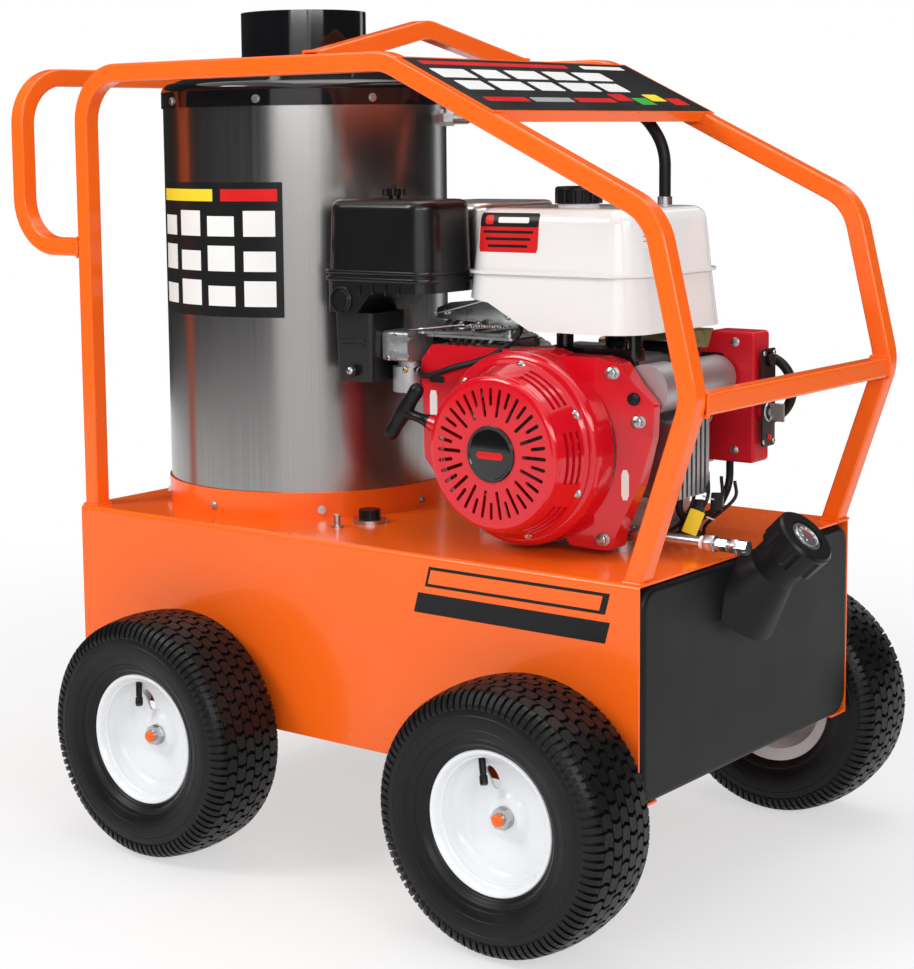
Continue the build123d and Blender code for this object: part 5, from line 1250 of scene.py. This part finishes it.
bracket_y = carb_low.y + 66 * MM
outline = [(0, 0), (128, -6), (150, 10), (150, 34), (128, 44), (96, 40), (60, 26), (22, 22), (0, 14)]
bracket = [prism("bracket", [(x * MM, z * MM) for x, z in outline], 0, 2.4 * MM, zinc, bevel=0.7 * MM,
                 matrix=towards_operator(carb_high.x - 4 * MM, bracket_y, carb_high.z + 14 * MM)),
           rod("bent_rod", [((carb_high.x + 2 * MM) / MM, bracket_y / MM - 8, carb_high.z / MM + 22),
                            ((carb_high.x + 60 * MM) / MM, bracket_y / MM - 10, carb_high.z / MM + 36),
                            ((carb_high.x + 112 * MM) / MM, bracket_y / MM - 6, carb_high.z / MM + 52)], 2.0, zinc)]
for x, z in ((16, 9), (118, 8), (136, 30), (92, 30)):
    bracket.append(hex_bolt("bolt", 4.2 * MM, 4 * MM, towards_operator(
        carb_high.x + (x - 4) * MM, bracket_y - 2.4 * MM, carb_high.z + (z + 14) * MM)))
mount(join("control_bracket", *bracket), "machine", "zinc")

#PIECES

# ------------------------------------------------------------------ stage, light, camera
class Rays:
    """Share of rays that should see a plain white studio: camera, glossy and transmitted ones."""

    def __init__(self, tree):
        path = tree.nodes.new("ShaderNodeLightPath")
        first, second = tree.nodes.new("ShaderNodeMath"), tree.nodes.new("ShaderNodeMath")
        first.operation = second.operation = "MAXIMUM"
        tree.links.new(path.outputs["Is Camera Ray"], first.inputs[0])
        tree.links.new(path.outputs["Is Glossy Ray"], first.inputs[1])
        tree.links.new(first.outputs[0], second.inputs[0])
        tree.links.new(path.outputs["Is Transmission Ray"], second.inputs[1])
        self.socket = second.outputs[0]


floor_finish = Finish("pale_floor", (0.86, 0.86, 0.86), 0.6)
away_x, away_y, _ = floor_finish.coordinates()
away = (away_x * away_x + away_y * away_y) ** 0.5
white_share = (away.smooth(0.7, 2.4) * 0.42 + 0.58) * Value(floor_finish, Rays(floor_finish.tree).socket)
glow = floor_finish.node("ShaderNodeEmission")
glow.inputs["Strength"].default_value = 1.0
floor_mix = floor_finish.node("ShaderNodeMixShader")
floor_finish.link(white_share.socket, floor_mix.inputs[0])
floor_finish.link(floor_finish.shader.outputs[0], floor_mix.inputs[1])
floor_finish.link(glow.outputs[0], floor_mix.inputs[2])
floor_finish.link(floor_mix.outputs[0], floor_finish.tree.nodes["Material Output"].inputs["Surface"])
floor = shape("floor", [(-14, -14, -0.0005), (14, -14, -0.0005), (14, 14, -0.0005), (-14, 14, -0.0005)],
              [(0, 1, 2, 3)], floor_finish, False)

world = bpy.data.worlds.new("studio")
bpy.context.scene.world = world
world.use_nodes = True
sky = world.node_tree
ambient = sky.nodes["Background"]
ambient.inputs["Color"].default_value = (1, 1, 1, 1)
ambient.inputs["Strength"].default_value = 0.48
seen = sky.nodes.new("ShaderNodeBackground")
seen.inputs["Color"].default_value = (1, 1, 1, 1)
seen.inputs["Strength"].default_value = 1.0
sky_mix = sky.nodes.new("ShaderNodeMixShader")
sky.links.new(Rays(sky).socket, sky_mix.inputs[0])
sky.links.new(ambient.outputs[0], sky_mix.inputs[1])
sky.links.new(seen.outputs[0], sky_mix.inputs[2])
sky.links.new(sky_mix.outputs[0], sky.nodes["World Output"].inputs[0])

# dark walls round the studio with one bright gap: only reflections see them, and they shape the metal
flag_black = Finish("flag_black", (0.02, 0.02, 0.021), 0.9)


def studio_wall(name, start, end, height, radius=5.0, steps=24):
    """Curved wall between two bearings, in degrees from -Y towards +X."""
    rows = []
    for step in range(steps + 1):
        turn = radians(start + (end - start) * step / steps)
        rows += [(radius * sin(turn), -radius * cos(turn), 0.0), (radius * sin(turn), -radius * cos(turn), height)]
    faces = [(2 * k, 2 * k + 1, 2 * k + 3, 2 * k + 2) for k in range(steps)]
    wall = shape(name, rows, faces, flag_black)
    wall.visible_camera = wall.visible_shadow = wall.visible_diffuse = False


studio_wall("wall_right", 52, 172, 5.0)
studio_wall("wall_left", 184, 372, 5.0)


def soft_light(name, where, aim, size, power):
    lamp = bpy.data.lights.new(name, "AREA")
    lamp.shape = "RECTANGLE"
    lamp.size, lamp.size_y = size
    lamp.energy = power
    made = bpy.data.objects.new(name, lamp)
    bpy.context.scene.collection.objects.link(made)
    made.matrix_world = turned((0, 0, 1), Vector(where) - Vector(aim), where)
    return made


soft_light("key", (-1.6, -2.6, 2.9), (0, 0, 0.6), (1.6, 1.2), 66)
soft_light("fill", (3.0, -1.6, 1.8), (0, 0, 0.6), (0.9, 1.8), 38)
soft_light("top", (0.3, 0.4, 3.4), (0, 0, 0.5), (2.4, 2.0), 42)
soft_light("strip", (1.55, -2.75, 1.5), (0, 0, 0.7), (0.32, 1.7), 13)

eye = Vector((cad_low.x + cad_high.x, cad_low.y + cad_high.y, 0)) / 2 + Vector((1.7445, -2.2856, 0.968))
azimuth, pitch, roll = radians(39.22), radians(7.16), -0.012965
back = Vector((sin(azimuth) * cos(pitch), -cos(azimuth) * cos(pitch), sin(pitch)))
right = Vector((cos(azimuth), sin(azimuth), 0))
up = back.cross(right)
right, up = right * cos(roll) + up * sin(roll), up * cos(roll) - right * sin(roll)
view = bpy.data.cameras.new("view")
view.lens = 76.57
view.sensor_width = 36.0
view.shift_x = 0.0799
view.shift_y = -0.0873
camera = bpy.data.objects.new("view", view)
bpy.context.scene.collection.objects.link(camera)
camera.matrix_world = Matrix.Translation(eye) @ Matrix((right, up, back)).transposed().to_4x4()
bpy.context.scene.camera = camera
bpy.context.scene.view_settings.view_transform = "Standard"
